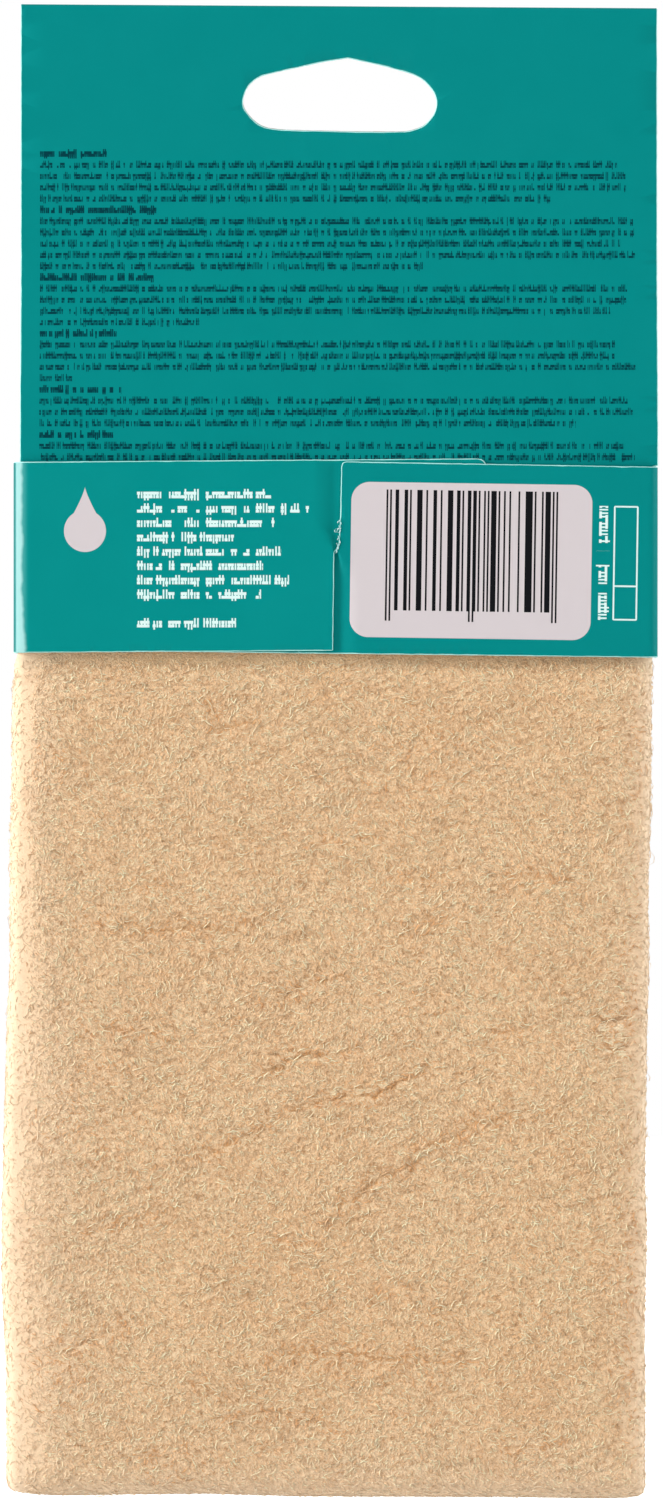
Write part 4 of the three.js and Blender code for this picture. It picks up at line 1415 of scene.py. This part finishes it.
def sueded(name):
    """Chamois: nap over a warm patchy ground, with a painted highlight at the folds and a painted
    shadow under the sleeve, parted in the creases, with painted shade in them and a painted
    highlight beside them. The mesh stores each point's distance to the nearest crease in
    millimetres, the crease's strength, and how near the point is to a fold, which sets the painted
    highlight."""
    made, shader = new_material(name, Roughness=0.95, Specular_IOR_Level=0.1, Sheen_Weight=0.25)
    plug(shader, {"Sheen Roughness": 0.5, "Sheen Tint": (1.0, 0.93, 0.84, 1)})
    place = object_place(made)
    nap = place_group(NAP, {"Place": place})
    gap, strength, rim_highlight = split(stored(made, "marks"))
    weight = smaller(strength, 1.0)
    patchy = between(speckle(place, 2.4 * MM, 3.0, 0.65), 0.36, 0.54, 0.22, 1.0)

    # The crease: a warm band, a brown core that is partly painted shade, and a painted highlight
    # just beside it
    off = abs(gap + (speckle(place, 1.5 * MM, 3.0, 0.65) - 0.5) * 2.4)
    band = between(off, 0.1, 1.0, 1.0, 0.0) * (weight * patchy)
    shaded_core = between(off, 0.1, 0.38, 1.0, 0.0) * between(strength, 0.5, 1.5, 0.22, 0.9)
    shaded_core = shaded_core * patchy * (strength > 0.05)
    beside = between(off, 0.5, 0.8) * between(off, 1.0, 1.5, 1.0, 0.0) * strength
    stained = between(abs(gap), 0.4, 3.9, 0.5, 0.0) * weight

    # The ground's colour, then tips, gaps, creases, the painted shadow under the sleeve, and the
    # painted highlight at the folds
    # The painted highlight at the folds also smooths the nap there
    plain = 1.0 - between(rim_highlight, 0.18, 0.55) * 0.85
    slow = between(speckle(place, 26 * MM, 3.0, 0.6), 0.5, 0.68, 0.0, 0.28)
    warm = larger(larger(nap["Warm"] * 0.12, nap["Fold"] * 0.75), slow)
    level = mix_colour(between(nap["Rough"], 0.62, 1.0), CHAMOIS, CHAMOIS_UP)
    ground = mix_colour(larger(warm, larger(band, stained)), level, CHAMOIS_WARM)
    # Painted highlight beside the creases and above the small wrinkles
    pale = larger(beside * 0.7, nap["Ridge Highlight"] * 0.4)
    tips = larger(nap["Tips"] * nap["Rough"] * TIP_SHARE, pale) * plain
    gaps = nap["Gaps"] * nap["Rough"] * plain
    gapped = mix_colour(gaps * GAP_SHARE, mix_colour(tips, ground, CHAMOIS_TIP), CHAMOIS_GAP)
    creased = mix_colour(shaded_core, gapped, CREASE_BROWN_AND_SHADE)
    # Painted shadow on a strip of skin just under the sleeve, where the band shades it
    pressed = between(split(place)[2], SLEEVE_BOTTOM - 4.2 * MM, SLEEVE_BOTTOM - 0.6 * MM, 0.0, 0.3)
    sleeve_shadowed = mix_colour(pressed, creased, CHAMOIS_SLEEVE_SHADOW)
    colour = mix_colour(smaller(rim_highlight, 0.9), sleeve_shadowed, CHAMOIS_RIM_HIGHLIGHT)
    height = (nap["Relief"] - shaded_core * 0.6) * plain
    plug(shader, {"Base Color": colour, "Normal": bumped(height, 1.0, RELIEF_DEPTH)})
    return made


# %% The skin
skin = new_mesh_piece(
    "chamois_sheet", loop.reshape(-1, 3), [quads, caps], np.zeros(len(quads) + len(caps)),
    [sueded("chamois_nap")], smooth_angle=80,
)
store(skin, "marks", mark_loop)
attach(skin, "chamois")
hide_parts("chamois_skin")

# %% [markdown]
# ## Loose fibres
# The longest fibres stand clear of the nap, curl over and catch the light. Each is a thin closed
# spindle of twelve triangles with a bend in it. They are spread evenly over the outer layer by
# area: steps of an irrational length never meet, so they leave neither clumps nor rows.


# %% Fibre colours
def speckled_material(name, size, dark, light, **values):
    """A dull material whose colour varies between two, over places of about this size."""
    made, shader = new_material(name, Roughness=0.9, Specular_IOR_Level=0.15, **values)
    varied = between(speckle(object_place(made), size), 0.35, 0.65)
    plug(shader, {"Base Color": mix_colour(varied, dark, light)})
    return made


# The rim colour is a painted highlight for fibres at the folds.
FIBRE_COLOURS = {
    "fibre_pale": (255, 236, 199), "fibre_mid": (240, 203, 159), "fibre_dark": (208, 162, 114),
    "fibre_rim_highlight": (251, 224, 190), "fibre_warm": (232, 177, 120),
}
PALE, MID, DARK, RIM_HIGHLIGHT, WARM = range(len(FIBRE_COLOURS))
FIBRE_PAINTS = []
for name, colour in FIBRE_COLOURS.items():
    darker, lighter = srgb(*[c - 12 for c in colour]), srgb(*[min(c + 10, 255) for c in colour])
    FIBRE_PAINTS.append(speckled_material(name, 1.1 * MM, darker, lighter, Sheen_Weight=0.2))


# %% Fibre shapes
def spindles(feet, aways, alongs, lengths, widths, bends, lifts):
    """Closed curved spindles along a bent line over the skin: a tip, two rings of three, a tip."""
    sides = np.cross(aways, alongs)
    t = np.array([0.0, 0.33, 0.67, 1.0])
    reach = (t - 0.5)[None, :, None] * lengths[:, None, None] * alongs[:, None]
    sway = (t * (1 - t) * 4)[None, :, None] * (bends * lengths)[:, None, None] * sides[:, None]
    height = np.array([-0.4, 0.75, 1.0, 0.45])[None, :, None] * lifts[:, None, None]
    rise = height * aways[:, None]
    spine = feet[:, None] + reach + sway + rise
    corner = np.radians([90, 210, 330])
    up, aside = np.cos(corner)[None, :, None], np.sin(corner)[None, :, None]
    ring = (up * aways[:, None] + aside * sides[:, None]) * widths[:, None, None] / 2
    points = [spine[:, :1], spine[:, 1:2] + ring, spine[:, 2:3] + ring * 0.8, spine[:, 3:]]
    faces = []
    for a in range(3):
        b = (a + 1) % 3
        faces += [(0, 1 + a, 1 + b), (1 + a, 4 + b, 1 + b)]
        faces += [(1 + a, 4 + a, 4 + b), (7, 4 + b, 4 + a)]
    faces = (np.arange(len(feet))[:, None, None] * 8 + np.array(faces)[None]).reshape(-1, 3)
    return np.concatenate(points, axis=1).reshape(-1, 3), faces


def new_fibres(name, paint, *shape):
    """A piece of fibres on the skin, each in one of the fibre colours."""
    points, faces = spindles(*shape)
    each_face = np.repeat(paint, len(faces) // len(paint))
    made = new_mesh_piece(name, points, [faces], each_face, FIBRE_PAINTS, smooth_angle=180)
    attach(made, "chamois")
    return made


# %% Fibres over the nap
IRRATIONAL, JITTER = 1.32471796, 0.003


def scatter(rng, patch, count):
    """Even places by area on a patch of the skin's outer side, and the direction away from it
    there: steps of an irrational sequence down and across the patch, slightly jittered."""
    a, b, c, d = patch[:-1, :-1], patch[1:, :-1], patch[1:, 1:], patch[:-1, 1:]
    normal = np.cross(d - b, c - a)
    area = np.linalg.norm(normal, axis=-1) / 2
    normal = normal / np.maximum(2 * area[..., None], 1e-15)
    steps = IRRATIONAL ** -np.arange(1.0, 3.0)
    jitter = rng.uniform(-JITTER, JITTER, (2, count))
    down, along = (0.5 + np.outer(steps, np.arange(count)) + jitter) % 1
    rows = np.cumsum(area.sum(axis=1)) / area.sum()
    row = np.searchsorted(rows, down).clip(0, len(rows) - 1)
    columns = np.cumsum(area, axis=1) / area.sum(axis=1, keepdims=True)
    marks = (columns + np.arange(len(rows))[:, None]).ravel()
    picked = np.searchsorted(marks, row + along).clip(0, area.size - 1)
    u, v = rng.random((2, count, 1))
    a, b, c, d, away = (grid.reshape(-1, 3)[picked] for grid in (a, b, c, d, normal))
    return a * (1 - u) * (1 - v) + b * u * (1 - v) + c * u * v + d * (1 - u) * v, away


def fibre_piece(name, patch, count, seed):
    """A piece of many fibres over one patch of the skin: fewer in the creases and at the left
    fold, warmer beside the creases and in slow patches, and paler at the folds, where they carry
    the painted highlight."""
    rng = np.random.default_rng(seed)
    feet, aways = scatter(rng, patch, count)
    gap, strength = near_crease(feet[:, 0], feet[:, 2])
    from_left = feet[:, 0] - edge_at(LEFT_EDGE, feet[:, 2])
    from_right = edge_at(RIGHT_EDGE, feet[:, 2]) - feet[:, 0]
    stained = np.clip(1.9 - np.abs(gap) / MM, 0, 1) * np.minimum(strength, 1) * 0.85
    stained += np.clip(soft_noise(feet[:, 0], feet[:, 2], 22 * MM, 93) - 0.15, 0, 1) * 0.6
    clear = (np.abs(gap) > 0.5 * MM) | (strength < rng.uniform(0.1, 0.9, count))
    clear &= (from_left > 4 * MM) | (rng.random(count) < 0.4)
    values = (feet, aways, stained, from_left, from_right)
    feet, aways, stained, from_left, from_right = (value[clear] for value in values)
    count = len(feet)
    # Fibres in the painted highlight along the long folds and the bottom fold take the rim colour
    at_rim_highlight = from_left < rng.uniform(0.23, 1.38, count) * highlight_reach(feet[:, 2])
    at_rim_highlight |= from_right < rng.uniform(0.8, 3, count) * MM
    grain = soft_noise(feet[:, 0], feet[:, 2], 6 * MM, seed) * 1.4 + rng.normal(0.15, 0.8, count)
    level = np.column_stack([np.cos(grain), 0 * grain, np.sin(grain)])
    alongs = level - aways * np.sum(level * aways, axis=1, keepdims=True)
    alongs /= np.maximum(np.linalg.norm(alongs, axis=1, keepdims=True), 1e-9)
    lengths = np.clip(rng.lognormal(np.log(0.9), 0.45, count), 0.45, 3.2) * MM
    widths = rng.uniform(0.1, 0.16, count) * MM + lengths * 0.02
    bends, lifts = rng.normal(0, 0.42, count), rng.uniform(0.04, 0.1, count) * MM + lengths * 0.02
    at_rim_highlight |= feet[:, 2] - FOOT_Z < rng.uniform(0.5, 6, count) * MM
    paint = rng.choice([PALE, MID, DARK], count, p=[0.30, 0.54, 0.16])
    paint = np.where(lengths > 1.7 * MM, PALE, paint)
    paint = np.where(rng.random(count) < stained, WARM, paint)
    paint = np.where(at_rim_highlight, RIM_HIGHLIGHT, paint)
    return new_fibres(name, paint, feet, aways, alongs, lengths, widths, bends, lifts)


BACK_PATCHES, FIBRES_BACK, FIBRES_FRONT = 4, 16000, 14000
outer_columns = np.where(outer_section[2] > 0.02)[0]
exposed = outer_side[:, outer_columns[0] : outer_columns[-1] + 1]
clear_rows = np.where(station_heights < SLEEVE_BOTTOM - 1.6 * MM)[0]
back_rows = clear_rows[station_turns[clear_rows] < 2.0]
front_rows = clear_rows[station_turns[clear_rows] > 1.2]
patches = {"fibres_front": (exposed[front_rows[0] : front_rows[-1] + 1], FIBRES_FRONT, 503)}
for number, rows in enumerate(np.array_split(back_rows[:-1], BACK_PATCHES)):
    patch = exposed[rows[0] : rows[-1] + 2]
    patches[f"fibres_back_{number + 1}"] = (patch, FIBRES_BACK, 504 + number)
fibre_pieces = [fibre_piece(name, *values) for name, values in patches.items()]


# %% Curls at the creases
CURL_EVERY, CURL_SPREAD = 0.9 * MM, 0.75


def crease_curls(seed):
    """Longer curls that lift beside the creases, lying roughly along them."""
    rng = np.random.default_rng(seed)
    skin_at = exposed[back_rows].reshape(-1, 3)
    feet, leans = [], []
    for strength, line in CREASES:
        ends = on_object(line)
        for start, step in zip(ends, np.diff(ends, axis=0)):
            count = int(np.hypot(*step) / CURL_EVERY * strength)
            apart = rng.random((count, 1)), rng.normal(0, CURL_SPREAD, (count, 2))
            spots = start + step * apart[0] + apart[1] * MM
            feet += [skin_at[np.argmin(np.hypot(*(skin_at[:, [0, 2]] - spot).T))] for spot in spots]
            leans += list(math.atan2(step[1], step[0]) + rng.normal(0, 0.5, count))
    count, leans = len(feet), np.array(leans)
    aways = np.tile([0.0, -1.0, 0.0], (count, 1))
    alongs = np.column_stack([np.cos(leans), 0 * leans, np.sin(leans)])
    lengths, widths = rng.uniform(1.0, 3.2, count) * MM, rng.uniform(0.14, 0.24, count) * MM
    bends, paint = rng.normal(0, 0.3, count), rng.choice([PALE, MID], count, p=[0.7, 0.3])
    shape = (np.array(feet), aways, alongs, lengths, widths, bends, lengths * 0.07)
    return new_fibres("fibres_at_creases", paint, *shape)


fibre_pieces.append(crease_curls(511))
print("fibres:", {piece.name: len(piece.data.polygons) for piece in fibre_pieces})

# %% [markdown]
# ## Torn edge
# Where the right wing passes from over to under the left one, its edge was torn when the lock was
# closed: the board splits there into small pale shreds. They use the same closed spindles as the
# fibres, wider, and ride on the right wing.

# %% Shreds of board
SHREDS = 18
TORN_TOP, TORN_BOTTOM = 518, 552
rng = np.random.default_rng(77)
heights = rng.uniform(TORN_TOP, TORN_BOTTOM, SHREDS)
edge_x = np.interp(heights, [TORN_TOP, 530, 545, TORN_BOTTOM], [339.6, 339.2, 337.6, 335.6])
edge_x = edge_x + rng.uniform(-0.6, 1.0, SHREDS)
feet = np.column_stack([across(edge_x), np.full(SHREDS, -WING_PLANE - 0.2 * MM), upward(heights)])
aways = np.tile([0.0, -1.0, 0.0], (SHREDS, 1))
lean = rng.normal(1.45, 0.45, SHREDS)
alongs = np.column_stack([np.cos(lean), 0 * lean, np.sin(lean)])
points, faces = spindles(
    feet, aways, alongs, rng.uniform(0.35, 1.1, SHREDS) * MM, rng.uniform(0.12, 0.3, SHREDS) * MM,
    rng.normal(0, 0.3, SHREDS), rng.uniform(0.03, 0.12, SHREDS) * MM,
)
torn_board = speckled_material("torn_card", 0.25 * MM, srgb(150, 205, 205), srgb(222, 240, 240))
all_torn = np.zeros(len(faces))
shreds = new_mesh_piece("torn_shreds", points, [faces], all_torn, [torn_board], smooth_angle=180)
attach(shreds, "right_flap")
print("shreds:", SHREDS)
